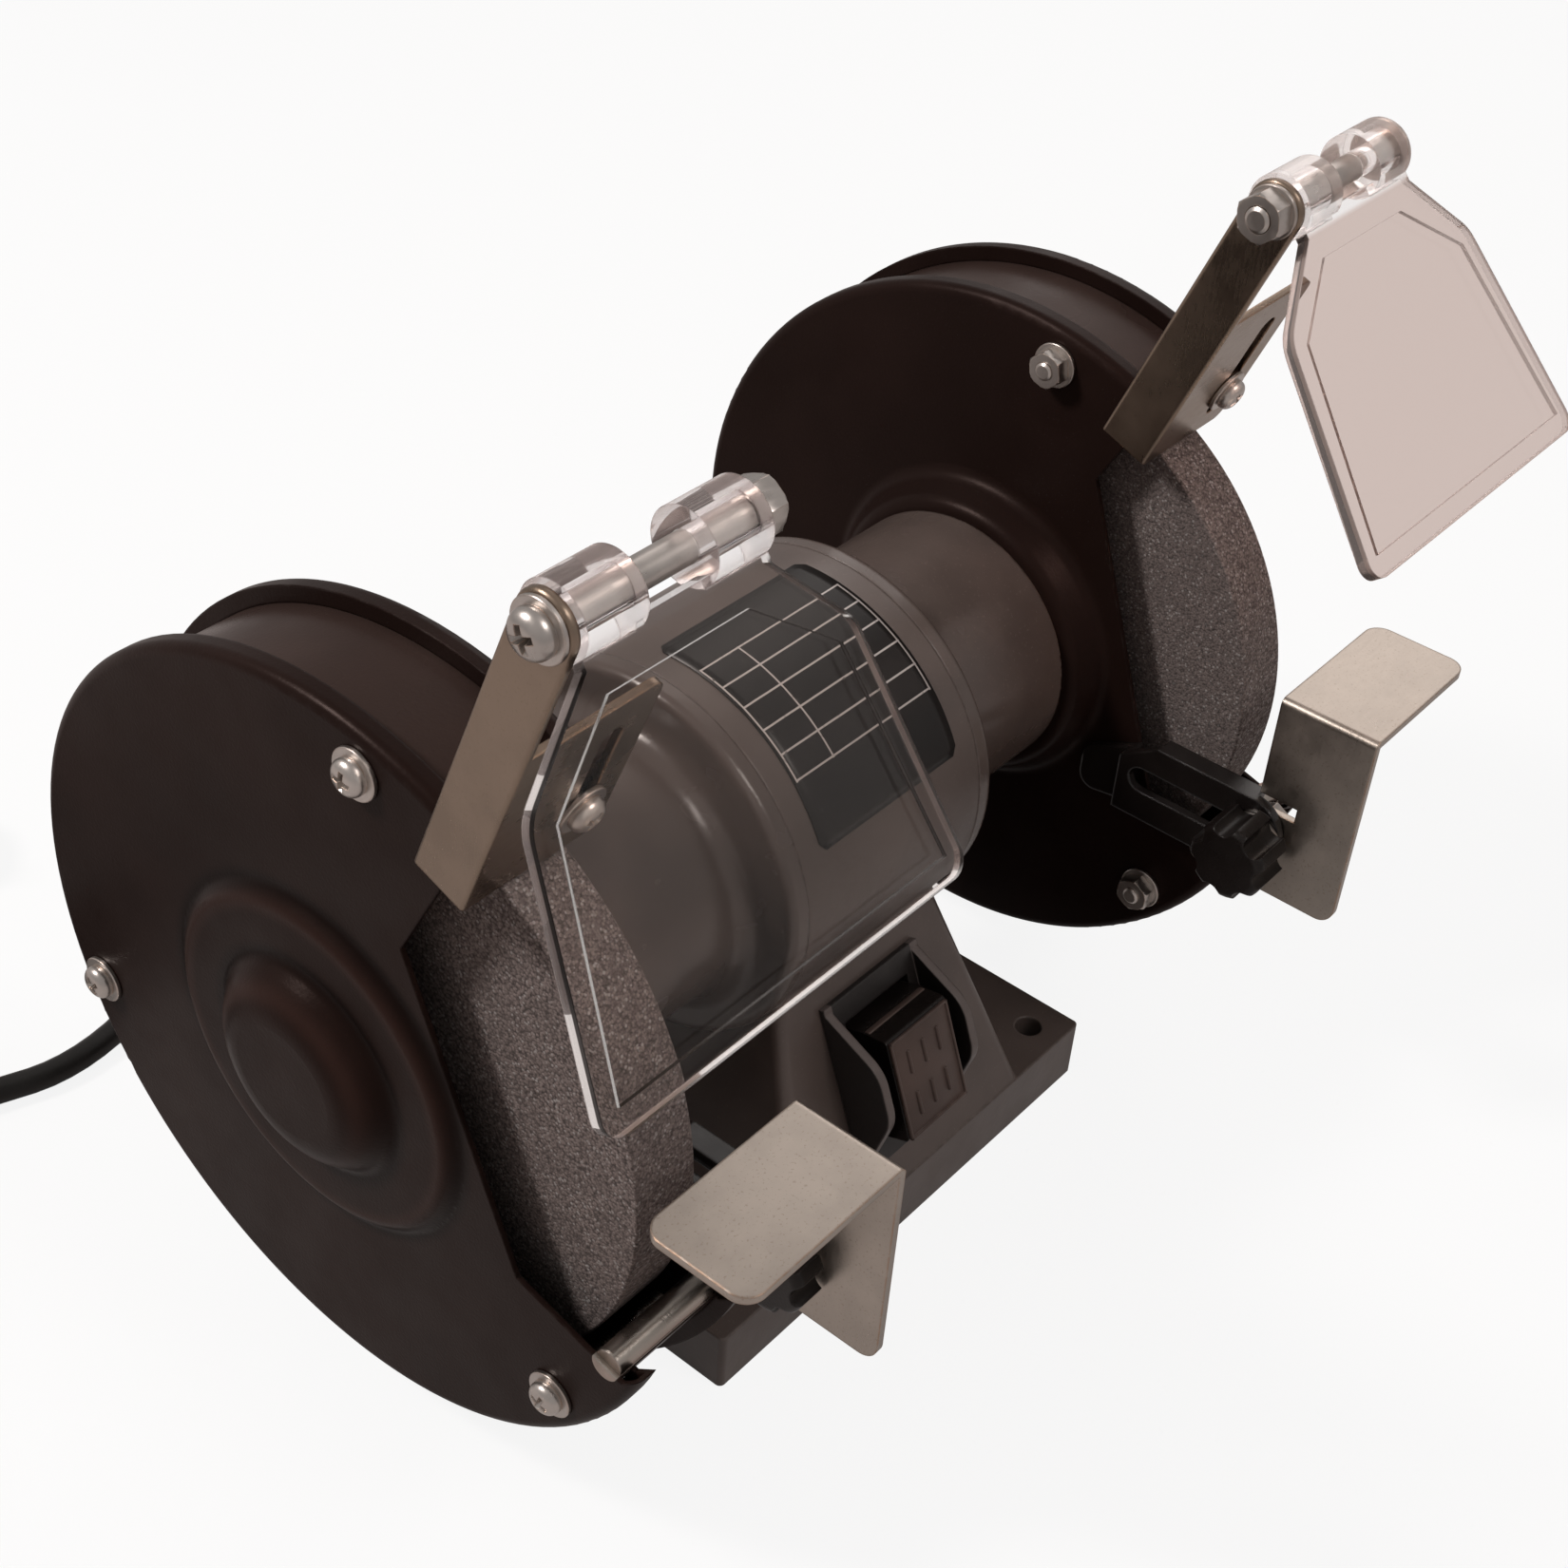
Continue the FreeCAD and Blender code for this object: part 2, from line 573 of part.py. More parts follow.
def inner_cover(label, side):
    """Pressed inner cover seated on the neck of the end bell."""
    body = new_body(label)
    face, gauge, rim, seat = d.inner_face, d.cover_gauge, d.guard_radius, d.neck_end
    lip = d.band_radius + d.seat_fit
    profile = [
        (face + d.rim_depth, rim), (face, rim), (face, d.ring_radius), (seat, d.ring_top),
        (seat, d.seal_radius), (seat + gauge, d.seal_radius), (seat + gauge, d.ring_top - gauge),
        (face + gauge, d.ring_radius - gauge), (face + gauge, rim - gauge),
        (face + d.rim_depth - gauge, rim - gauge), (face + d.rim_depth - gauge, lip),
        (face + d.rim_depth, lip),
    ]
    revolve(body, [(x * side, r) for x, r in profile])
    round_rims(body, [(face * side, rim)], d.rim_round)
    round_rims(body, [((face + gauge) * side, rim - gauge)], d.rim_round - gauge)
    round_rims(body, [(seat * side, d.ring_top), (face * side, d.ring_radius)], Size(4))
    open_front(body, mouth(d.mouth_inner, d.inner_step))
    drill(body, guard_screw_places(), d.screw_radius + d.hole_fit)
    drill(body, cover_screw_places(), d.screw_radius + d.hole_fit)


def guard_band(label, side):
    """Band between the covers, with the spark plate's tab above and a rolled bead below."""
    body = new_body(label)
    near, far = d.inner_face + d.cover_gauge, d.outer_face - d.cover_gauge
    inside = d.band_radius - d.cover_gauge
    revolve(body, [(x * side, r) for x, r in
                   [(near, inside), (far, inside), (far, d.band_radius), (near, d.band_radius)]])
    reach = d.mouth_depth
    open_front(body, [(NONE, NONE), polar(reach, d.band_start), (-reach, reach),
                      (-reach, NONE), polar(reach, -d.band_end)])
    start, length = span(side, near, far)
    tab = [plate_point(d.bracket_gauge + d.seat_fit, d.tab_low),
           plate_point(d.bracket_gauge + d.seat_fit, d.tab_high),
           plate_point(d.bracket_gauge + d.tab_gauge, d.tab_high),
           plate_point(d.bracket_gauge + d.tab_gauge, d.tab_low)]
    pad(body, polygon(sketch_on(body, "YZ_Plane", start), tab), length)
    bead = circle(sketch_on(body, "YZ_Plane", start), *polar(d.bead_reach, -d.band_end), d.bead_radius)
    pad(body, bead, length)


def plate_point(back, up):
    """Point (y, z) about the shaft from the spark plate's frame: distance behind, height along."""
    lean = d.bracket_lean
    return (sized(back) * cosine(lean) - sized(up) * sine(lean) - d.bracket_y,
            sized(back) * sine(lean) + sized(up) * cosine(lean) + d.bracket_z)


def cylinder_stack(label, sections, along, up):
    """Union of coaxial cylinders along X given as (start, length, radius)."""
    return fuse(label, [rod(start, length, radius, along, up) for start, length, radius in sections])


def holed_nut(label, start, length, radius, bore, along, up):
    """Hexagon nut along X with a plain bore."""
    solid = hexagon(start, length, radius, along, up)
    return cut(label, solid, rod(start - 1, length + 2, bore, along, up))


def guard_fasteners():
    """Screws, nuts and washers through both guards, and the inner covers' own screws."""
    screws, nuts, cover_screws = [], [], []
    face, back = d.outer_face, d.inner_face
    for word, side in SIDES:
        for along, up in guard_screw_places():
            up = up + d.shaft_height
            tip = back - d.washer_gauge - d.small_nut_length
            parts = [(tip, face - tip + 0.5, d.screw_radius), (face, d.washer_gauge, d.washer_radius),
                     (face + d.washer_gauge, d.head_height, d.head_radius)]
            stack = [(*span(side, start, start + length), radius) for start, length, radius in parts]
            screws.append(cylinder_stack(f"{word}_guard_screw", stack, along, up))
            start, length = span(side, tip, back - d.washer_gauge)
            washer, gauge = span(side, back - d.washer_gauge, back)
            solid = fuse("GuardNut", [hexagon(start, length, d.small_nut_radius, along, up),
                                      rod(washer, gauge, d.washer_radius, along, up)])
            low, reach = span(side, tip - 1, back + 1)
            bore = rod(low, reach, d.screw_radius + d.seat_fit, along, up)
            nuts.append(cut(f"{word}_guard_nut", solid, bore))
        seat = d.neck_end + d.cover_gauge
        for along, up in cover_screw_places():
            up = up + d.shaft_height
            parts = [(d.neck_end - d.cover_screw_length, d.cover_screw_length + d.cover_gauge,
                      d.screw_radius), (seat, d.head_height, d.head_radius)]
            stack = [(*span(side, start, start + length), radius) for start, length, radius in parts]
            cover_screws.append(cylinder_stack(f"{word}_cover_screw", stack, along, up))
    group("guard_screws", screws)
    group("guard_nuts", nuts)
    group("cover_screws", cover_screws)


def rest_arm(label, side):
    """Slotted angle on the inner cover, stepped outwards in front of it."""
    body = new_body(label)
    near, far, gauge = d.arm_near, d.arm_near + d.arm_gauge, d.arm_gauge
    start, length = span(side, near, far)
    step = d.arm_step
    web = [(-d.arm_front, d.arm_bottom), (-step, d.arm_bottom), (-step, d.arm_top - d.arm_drop),
           (-d.flange_back, d.arm_top), (-d.arm_front, d.arm_top)]
    pad(body, polygon(sketch_on(body, "YZ_Plane", start), web), length)
    round_corners(body, [(-d.arm_front, d.arm_bottom), (-d.arm_front, d.arm_top)], d.arm_round)
    riser_start, riser_length = span(side, near, d.inner_face)
    riser = [(-step - gauge, d.arm_bottom), (-step, d.arm_bottom), (-step, d.arm_top - d.arm_drop),
             (-step - gauge, d.arm_top - d.arm_shoulder)]
    pad(body, polygon(sketch_on(body, "YZ_Plane", riser_start), riser), riser_length)
    foot_start, foot_length = span(side, d.inner_face - gauge, d.inner_face)
    foot = [(-step - gauge, d.arm_bottom), (-d.foot_back, d.foot_bottom), (-d.foot_back, d.foot_top),
            (-step, d.arm_top - d.arm_drop), (-step - gauge, d.arm_top - d.arm_shoulder)]
    pad(body, polygon(sketch_on(body, "YZ_Plane", foot_start), foot), foot_length)
    round_corners(body, [(-d.foot_back, d.foot_bottom), (-d.foot_back, d.foot_top)], Size(4))
    edge_start, edge_length = span(side, near, near + d.flange_width)
    edge = rectangle(sketch_on(body, "YZ_Plane", edge_start), -d.flange_front, -d.flange_back,
                     d.arm_top - gauge, d.arm_top)
    pad(body, edge, edge_length)
    reach = start + length
    track = slot(sketch_on(body, "YZ_Plane", reach), (-d.slot_front, d.clamp_z),
                 (-d.slot_back, d.clamp_z), d.slot_radius)
    pocket(body, track, length)


def tool_rest(label, side):
    """Bent sheet rest: table, hanging flange with a lug under the arm's top flange."""
    body = new_body(label)
    near, gauge, far = d.rest_near, d.rest_gauge, d.rest_near + d.rest_width
    start, length = span(side, near, near + gauge)
    front, back, top = -d.rest_front, -d.rest_back, d.rest_top
    cheek = [(front, d.rest_bottom), (back, d.rest_bottom), (back, d.lug_bottom),
             (-d.lug_back, d.lug_bottom), (-d.lug_back, d.lug_top), (-d.notch_front, d.lug_top),
             (-d.notch_front, d.notch_top), (back, d.notch_top), (back, top), (front, top)]
    pad(body, polygon(sketch_on(body, "YZ_Plane", start), cheek), length)
    table_start, table_length = span(side, near, far)
    table = rectangle(sketch_on(body, "XY_Plane", top - gauge), table_start,
                      table_start + table_length, front, back)
    pad(body, table, gauge)
    hole = circle(sketch_on(body, "YZ_Plane", start + length), -d.clamp_y, d.clamp_z,
                  d.stud_radius + d.hole_fit)
    pocket(body, hole, length)
    round_corners(body, [(far * side, front), (far * side, back)], d.rest_round, "z")
    round_corners(body, [(front, d.rest_bottom), (back, d.rest_bottom)], d.rest_round)
    round_corners(body, [(-d.lug_back, d.lug_bottom), (-d.lug_back, d.lug_top)], Size(3))
    round_corners(body, [(near * side, top)], gauge, "y")


def rest_clamp(word, side):
    """Star knob with stud and washer, and the nut that it draws up."""
    along, up = -d.clamp_y, d.shaft_height + d.clamp_z
    gap, washer = d.clamp_gap, d.clamp_washer_gauge
    if side > 0:
        height = d.right_knob_height
        face = d.arm_near - gap
        knob_start = face - washer - height
        nut_start = d.rest_near + d.rest_gauge + gap
        stud_start, stud_end = knob_start + 3, nut_start + d.clamp_nut_length + 1
        washer_start, knob_face = face - washer, knob_start + height
    else:
        height = d.left_knob_height
        face = -(d.rest_near + d.rest_gauge + gap)
        knob_start = face - washer - height
        nut_start = -(d.arm_near - gap)
        stud_start, stud_end = knob_start + 2, nut_start + d.clamp_nut_length + 1
        washer_start, knob_face = face - washer, knob_start + height
    body = new_body(f"{word}_rest_knob")
    move(body, along=along, up=up)
    pad(body, circle(sketch_on(body, "YZ_Plane", knob_start), NONE, NONE, d.knob_radius), height)
    round_rims(body, [(knob_start, d.knob_radius)], Size(2))
    dent = circle(sketch_on(body, "YZ_Plane", knob_face), -d.knob_scallop_reach, NONE, d.knob_scallop)
    scallop = pocket(body, dent, height)
    pattern(body, scallop, "X_Axis", KNOB_LOBES)
    bore = circle(sketch_on(body, "YZ_Plane", knob_face), NONE, NONE, d.stud_radius + d.seat_fit)
    pocket(body, bore, knob_face - stud_start)
    stud = cylinder_stack(f"{word}_rest_stud", [(stud_start, stud_end - stud_start, d.stud_radius),
                                                (washer_start, washer, d.clamp_washer)], along, up)
    nut = holed_nut(f"{word}_rest_nut", nut_start, d.clamp_nut_length, d.clamp_nut,
                    d.stud_radius + d.running_fit, along, up)
    pieces.extend([stud, nut])


def strip_face(side):
    """X of a bracket strip's left face."""
    return (d.inner_face + d.outer_face) / 2 * side - d.strip_offset


def shield_bracket(label, side):
    """Bent sheet: spark plate with slot, and the strip up to the shield's pivot."""
    body = new_body(label)
    move(body, NONE, -d.bracket_y, d.shaft_height + d.bracket_z, d.bracket_lean)
    left, gauge = strip_face(side), d.bracket_gauge
    strip = rectangle(sketch_on(body, "YZ_Plane", left), NONE, d.strip_width, NONE, d.strip_length)
    pad(body, strip, gauge)
    plate = rectangle(sketch_on(body, "XZ_Plane", -gauge), left, left + d.plate_reach, NONE,
                      d.plate_height)
    pad(body, plate, gauge)
    across = left + d.plate_slot_x
    track = slot(sketch_on(body, "XZ_Plane"), (across, d.plate_slot_low), (across, d.plate_slot_high),
                 d.plate_slot_radius)
    pocket(body, track, gauge)
    eye = circle(sketch_on(body, "YZ_Plane", left + gauge), d.strip_width / 2, d.pivot_up,
                 d.pivot_radius + d.hole_fit)
    pocket(body, eye, gauge)
    round_corners(body, [(NONE, d.strip_length), (d.strip_width, d.strip_length)], d.strip_round)
    round_corners(body, [(left + d.plate_reach, NONE), (left + d.plate_reach, d.plate_height)],
                  Size(3), "y")
    round_corners(body, [(left, NONE)], gauge * 0.5, "z")


def clamp_screws():
    """Screws that hold the spark plates on the bands' tabs."""
    screws = []
    for word, side in SIDES:
        across = strip_face(side) + d.plate_slot_x
        behind = d.bracket_gauge + d.tab_gauge
        parts = [(-d.washer_gauge - d.head_height, d.head_height, d.head_radius),
                 (-d.washer_gauge, d.washer_gauge, d.washer_radius),
                 (-d.washer_gauge, d.washer_gauge + behind + d.small_nut_length + 1, d.screw_radius),
                 (behind, d.small_nut_length, d.small_nut_radius)]
        stack = []
        for depth, length, radius in parts:
            item = doc.addObject("Part::Cylinder", "ClampScrew")
            bind(item, "Radius", radius)
            bind(item, "Height", length)
            along, up = plate_point(depth, d.clamp_screw_up)
            stack.append(move(item, across, along, up + d.shaft_height, d.bracket_lean - 90))
        screws.append(fuse(f"{word}_bracket_screw", stack))
    group("bracket_screws", screws)


def shield_pivot(word, side):
    """Pivot bolt through strip and shield knuckles, with its nut."""
    along, up = plate_point(d.strip_width / 2, d.pivot_up)
    up = up + d.shaft_height
    left = strip_face(side)
    right = left + d.knuckle_start + d.knuckle_pitch + d.knuckle_length + d.clamp_gap
    washer, head, nut = d.washer_gauge, d.pivot_head_height, d.clamp_nut_length
    if side < 0:
        stack = [(left - washer - head, head, d.pivot_head), (left - washer, washer, d.pivot_washer),
                 (left - washer, right - left + washer * 2 + nut + 1, d.pivot_radius)]
        nut_start, ring_start = right + washer, right
    else:
        stack = [(right + washer, head, d.pivot_head), (right, washer, d.pivot_washer),
                 (left - washer - nut - 1, right - left + washer * 2 + nut + 1, d.pivot_radius)]
        nut_start, ring_start = left - washer - nut, left - washer
    bolt = cylinder_stack(f"{word}_shield_bolt", stack, along, up)
    solid = fuse("PivotNut", [hexagon(nut_start, nut, d.clamp_nut, along, up),
                              rod(ring_start, washer, d.pivot_washer, along, up)])
    bore = rod(nut_start - 4, nut + 8, d.pivot_radius + d.seat_fit, along, up)
    pieces.extend([bolt, cut(f"{word}_shield_nut", solid, bore)])


def eye_shield(label, side, tilt):
    """Clear panel with raised border, hung by two knuckles."""
    body = new_body(label)
    along, up = plate_point(d.strip_width / 2, d.pivot_up)
    move(body, NONE, along, up + d.shaft_height, -tilt)
    left = strip_face(side)
    middle = left + d.shield_middle
    first = left + d.knuckle_start
    second = first + d.knuckle_pitch
    wide, top, mid, low = d.knuckle_length, -d.shield_top, -d.shield_mid, -d.shield_low
    shoulder = -d.shield_shoulder
    outline = [
        (first, shoulder), (first, NONE), (first + wide, NONE), (first + wide, top),
        (second, top), (second, NONE), (second + wide, NONE), (second + wide, shoulder),
        (middle + d.shield_mid_half, mid), (middle + d.shield_low_half, low),
        (middle - d.shield_low_half, low), (middle - d.shield_mid_half, mid),
    ]
    pad(body, polygon(sketch_on(body, "XZ_Plane", d.shield_back), outline), d.shield_gauge)
    for sign in (-1, 1):
        round_corners(body, [(middle + d.shield_low_half * sign, low)], Size(4), "y")
        round_corners(body, [(middle + d.shield_mid_half * sign, mid)], Size(9), "y")
    rim = d.shield_border
    field = [
        (middle - d.shield_field_half, shoulder - rim), (middle + d.shield_field_half, shoulder - rim),
        (middle + d.shield_mid_half - rim, mid - rim / 2), (middle + d.shield_low_half - rim, low + rim),
        (middle - d.shield_low_half + rim, low + rim), (middle - d.shield_mid_half + rim, mid - rim / 2),
    ]
    front = d.shield_back + d.shield_gauge
    pocket(body, polygon(sketch_on(body, "XZ_Plane", front), field), d.shield_relief)
    for start in (first, second):
        pad(body, circle(sketch_on(body, "YZ_Plane", start), NONE, NONE, d.knuckle_radius), wide)
    eye = circle(sketch_on(body, "YZ_Plane", second + wide + 1), NONE, NONE,
                 d.pivot_radius + d.running_fit * 2)
    pocket(body, eye, d.knuckle_pitch + wide + 2)


def switch():
    """Switch in the pedestal's sloping front: body with raised cheeks, and the rocker."""
    slope = (d.foot_width - d.pedestal_top_width) / 2 / (d.pedestal_top - d.base_thickness)
    along = slope * (d.switch_z - d.base_thickness) - d.foot_width / 2
    lean = Size(-math.degrees(math.atan(slope.value)), f"(-1 * atan({slope.text}))")
    body = new_body("switch_body")
    move(body, NONE, along, d.switch_z, lean)
    wide, tall = d.switch_half_width, d.switch_half_height
    pad(body, rectangle(sketch_on(body, "XZ_Plane"), -wide, wide, -tall, tall), d.bezel_gauge)
    inside, deep = wide - d.cheek_gauge, d.switch_depth
    case = rectangle(sketch_on(body, "XZ_Plane", -deep), -inside, inside,
                     -(d.well_half_height + 1.5), d.well_half_height + 1.5)
    pad(body, case, deep)
    rise = d.cheek_rise
    for start in (-wide, inside):
        cheek = [(NONE, -tall), (NONE, tall), (-rise, tall * 0.36), (-rise, -(tall * 0.22))]
        pad(body, polygon(sketch_on(body, "YZ_Plane", start), cheek), d.cheek_gauge)
    round_corners(body, [(-rise, tall * 0.36), (-rise, -(tall * 0.22))], Size(10))
    well = rectangle(sketch_on(body, "XZ_Plane", d.bezel_gauge), -d.well_half_width, d.well_half_width,
                     -d.well_half_height, d.well_half_height)
    pocket(body, well, d.well_depth)
    pin_end = d.well_half_width + d.rocker_pin_reach
    socket = circle(sketch_on(body, "YZ_Plane", pin_end + d.hole_fit), d.rocker_pivot, NONE,
                    d.rocker_pin + d.running_fit)
    pocket(body, socket, (pin_end + d.hole_fit) * 2)
    rocker = new_body("rocker")
    move(rocker, NONE, along, d.switch_z, lean)
    high = d.rocker_half_height
    profile = [(-d.rocker_rise, -high), (-d.rocker_rise, high - 1), (-d.rocker_dip, high + 0.6),
               (d.rocker_pivot, high + 0.6), (d.rocker_pivot + 4, NONE), (d.rocker_pivot, -high)]
    half = d.rocker_half_width
    pad(rocker, polygon(sketch_on(rocker, "YZ_Plane", -half), profile), half * 2)
    round_corners(rocker, [(-d.rocker_rise, -high), (-d.rocker_rise, high - 1)], Size(1.2))
    pin = circle(sketch_on(rocker, "YZ_Plane", -pin_end), d.rocker_pivot, NONE, d.rocker_pin)
    pad(rocker, pin, pin_end * 2)


def turned(label, profile, side=1):
    """Turned piece about the shaft from points (x, radius)."""
    body = new_body(label)
    revolve(body, [(sized(x) * side, r) for x, r in profile])
    return body


def motor():
    """Shaft, rotor, stator, windings and capacitor."""
    end, shoulder = d.shaft_end, d.shoulder_x
    shaft = turned("shaft", [(-end, NONE), (-end, d.spindle_radius), (-shoulder, d.spindle_radius),
                             (-shoulder, d.shaft_radius), (shoulder, d.shaft_radius),
                             (shoulder, d.spindle_radius), (end, d.spindle_radius), (end, NONE)])
    round_rims(shaft, [(end, d.spindle_radius), (-end, d.spindle_radius)], Size(1))
    half = d.core_length / 2
    ring_low, ring_high = d.stator_bore - 10, d.stator_bore - 2
    hub, skin = d.shaft_radius + d.seat_fit, d.stator_bore - d.air_gap
    turned("rotor_core", [(-half, hub), (half, hub), (half, ring_low), (half + 5, ring_low),
                          (half + 5, ring_high), (half, ring_high), (half, skin), (-half, skin),
                          (-half, ring_high), (-half - 5, ring_high), (-half - 5, ring_low),
                          (-half, ring_low)])
    turned("stator_core", [(-half, d.stator_bore), (half, d.stator_bore),
                           (half, d.barrel_bore - d.seat_fit), (-half, d.barrel_bore - d.seat_fit)])
    rings = []
    for word, side in SIDES:
        start, length = span(side, half, half + d.winding_length)
        solid = rod(start, length, d.winding_outer, NONE, d.shaft_height)
        rings.append(cut(f"{word}_winding", solid,
                         rod(start - 1, length + 2, d.winding_inner, NONE, d.shaft_height)))
    group("stator_windings", rings)
    can = rod(-(d.capacitor_length / 2), d.capacitor_length, d.capacitor_radius, Size(20),
              d.plate_recess + d.capacitor_radius + d.tie_gap, "capacitor")
    can.Label = "capacitor"
    pieces.append(can)


def spindle(word, side):
    """Bearing, wheel, clamping discs and nut of one side."""
    stop = d.neck_end - d.bearing_lip
    turned(f"{word}_bearing", [(stop - d.bearing_width, d.shaft_radius + d.running_fit),
                               (stop, d.shaft_radius + d.running_fit), (stop, d.bearing_radius),
                               (stop - d.bearing_width, d.bearing_radius)], side)
    bore = d.spindle_radius + d.seat_fit
    start = d.shoulder_x
    inner = start + d.inner_disc
    outer = inner + d.wheel_width
    nut = outer + d.outer_disc
    turned(f"{word}_inner_flange", [(start, bore), (inner, bore), (inner, d.disc_radius),
                                    (start + 2.5, d.disc_radius), (start, d.disc_radius - 8)], side)
    wheel = turned(f"{word}_wheel", [(inner, bore), (outer, bore), (outer, d.wheel_radius),
                                     (inner, d.wheel_radius)], side)
    round_rims(wheel, [(inner * side, d.wheel_radius), (outer * side, d.wheel_radius)], Size(0.6))
    turned(f"{word}_outer_flange", [(outer, bore), (nut, bore), (nut, d.disc_radius - 8),
                                    (nut - 2, d.disc_radius), (outer, d.disc_radius)], side)
    nut_start, length = span(side, nut, nut + d.nut_length)
    pieces.append(holed_nut(f"{word}_spindle_nut", nut_start, length, d.nut_flat_radius, bore, NONE,
                            d.shaft_height))


def tube(label, path, radius):
    """Round tube along a wire of lines and arcs."""
    start = path.OrderedVertexes[0].Point
    heading = path.OrderedEdges[0].tangentAt(path.OrderedEdges[0].FirstParameter)
    ring = Part.Wire([Part.makeCircle(radius, start, heading)])
    item = doc.addObject("Part::Feature", label)
    item.Label = label
    item.Shape = path.makePipeShell([ring], True, False)
    pieces.append(item)
    print(label, "length", round(path.Length, 1), "volume ratio",
          round(item.Shape.Volume / (math.pi * radius ** 2 * path.Length), 4))
    return item


def rounded_path(points):
    """Wire of straight runs joined by tangent arcs."""
    edges = []
    last = points[0]
    for before, corner, after in zip(points, points[1:], points[2:]):
        arrive = (corner - before).normalize()
        leave = (after - corner).normalize()
        turn = arrive.getAngle(leave)
        trim = 0.45 * min((corner - before).Length, (after - corner).Length)
        radius = trim / math.tan(turn / 2)
        begin, end = corner - arrive * trim, corner + leave * trim
        inward = (leave - arrive).normalize()
        middle = corner + inward * (radius / math.cos(turn / 2) - radius)
        edges.append(Part.LineSegment(last, begin).toShape())
        edges.append(Part.Arc(begin, middle, end).toShape())
        print("cord bend radius", round(radius, 1))
        last = end
    edges.append(Part.LineSegment(last, points[-1]).toShape())
    return Part.Wire(edges)


def half_turn(begin, heading, end):
    """Two equal arcs from one point to the far side of a turn, tangent to opposite headings."""
    reach = (end - begin).Length / 2
    middle = (begin + end) * 0.5 + heading * reach
    arcs = []
    for start, finish, along in ((begin, middle, heading), (middle, end, None)):
        if along is None:
            along = (end - begin).normalize()
        chord = finish - start
        across = (chord - along * chord.dot(along)).normalize()
        angle = along.getAngle(chord)
        radius = chord.Length / 2 / math.sin(angle)
        centre = start + across * radius
        spot = centre + (along * math.sin(angle) - across * math.cos(angle)) * radius
        arcs.append(Part.Arc(start, spot, finish).toShape())
    return arcs


def mains_lead():
    """Strain relief, free run, tied coil and plug."""
    radius = SIZES["cord_radius"]
    gland = new_body("cord_gland")
    move(gland, d.gland_x, d.base_width / 2, d.gland_z, Size(90), Vector(0, 0, 1))
    wall = -(d.pedestal_wall + 2)
    revolve(gland, [(wall, NONE), (wall, d.gland_root), (NONE, d.gland_root), (NONE, d.gland_flange),
                    (Size(3), d.gland_flange), (Size(3), d.gland_root),
                    (d.gland_length, d.cord_radius + 1), (d.gland_length, NONE)])
    tip = SIZES["base_width"] / 2 + SIZES["gland_length"]
    rest_z = radius + SIZES["floor_gap"] + 0.1
    coil_z = radius + SIZES["floor_gap"] + SIZES["tie_gauge"] + SIZES["tie_gap"]
    gland_z = SIZES["gland_z"]
    route = [Vector(SIZES["gland_x"], tip, gland_z), Vector(SIZES["gland_x"], 122, gland_z - 0.8),
             Vector(-10, 144, 4.6), Vector(-52, 139.5, rest_z), Vector(-104, 119.6, rest_z),
             Vector(-136, 132, rest_z + 0.3), Vector(-166.5, 140, coil_z)]
    tube("mains_cord", rounded_path(route), radius)
    heading = route[-1] - route[-2]
    heading = Vector(heading.x, heading.y, 0).normalize()
    inward = Vector(heading.y, -heading.x, 0)
    pitch, inner, step = SIZES["coil_pitch"], SIZES["coil_inner"], SIZES["coil_step"]
    outer = inner + pitch * COIL_HALF_TURNS / 2
    entry = route[-1] + heading * (2 * radius)
    centre = entry + inward * outer
    edges = [Part.LineSegment(route[-1], entry).toShape()]
    radii = [outer - pitch / 2 * index for index in range(COIL_HALF_TURNS + 1)]
    rises = [0] * len(radii) + [step] * len(radii)
    here, sense = entry, 1
    for reach, rise in list(zip(radii + radii[::-1], rises))[1:]:
        there = centre + inward * (reach * sense) + Vector(0, 0, rise)
        edges.extend(half_turn(here, heading * sense, there))
        here, sense = there, -sense
    leave = heading * sense
    tail = here + leave * SIZES["coil_tail"]
    edges.append(Part.LineSegment(here, tail).toShape())
    path = Part.Wire(edges)
    tube("cord_coil", path, radius)
    spots = path.discretize(Distance=3.0)
    skip = 12
    least = min((a - b).Length for i, a in enumerate(spots) for b in spots[i + skip:]) - 2 * radius
    print("coil least self gap", round(least, 2))
    coil_tie(centre, heading, outer)
    mains_plug(tail, leave)


def coil_tie(centre, heading, outer):
    """Flat loop round all the turns on one side of the coil."""
    gauge, gap = d.tie_gauge, d.tie_gap
    boxes = []
    bundle = d.cord_radius * 2 + d.coil_step
    for wall in (gauge, NONE):
        item = doc.addObject("Part::Box", "TieBlock")
        edge = wall + gap + 0.8
        bind(item, "Length", d.coil_pitch * COIL_HALF_TURNS / 2 + d.cord_radius * 2 + edge * 2)
        bind(item, "Width", d.tie_width + (0 if wall is gauge else 2))
        bind(item, "Height", bundle + (wall + gap) * 2)
        turn = math.degrees(math.atan2(heading.y, heading.x))
        spin = FreeCAD.Rotation(Vector(0, 0, 1), turn)
        reach = (d.coil_inner - d.cord_radius - edge).value
        side = (d.tie_width.value + (0 if wall is gauge else 2)) / 2
        spot = spin.multVec(Vector(reach, -side, 0))
        low = d.floor_gap.value + (gauge - wall).value
        item.Placement = FreeCAD.Placement(Vector(centre.x, centre.y, low) + spot, spin)
        boxes.append(item)
    tie = cut("cord_tie", boxes[0], boxes[1])
    pieces.append(tie)


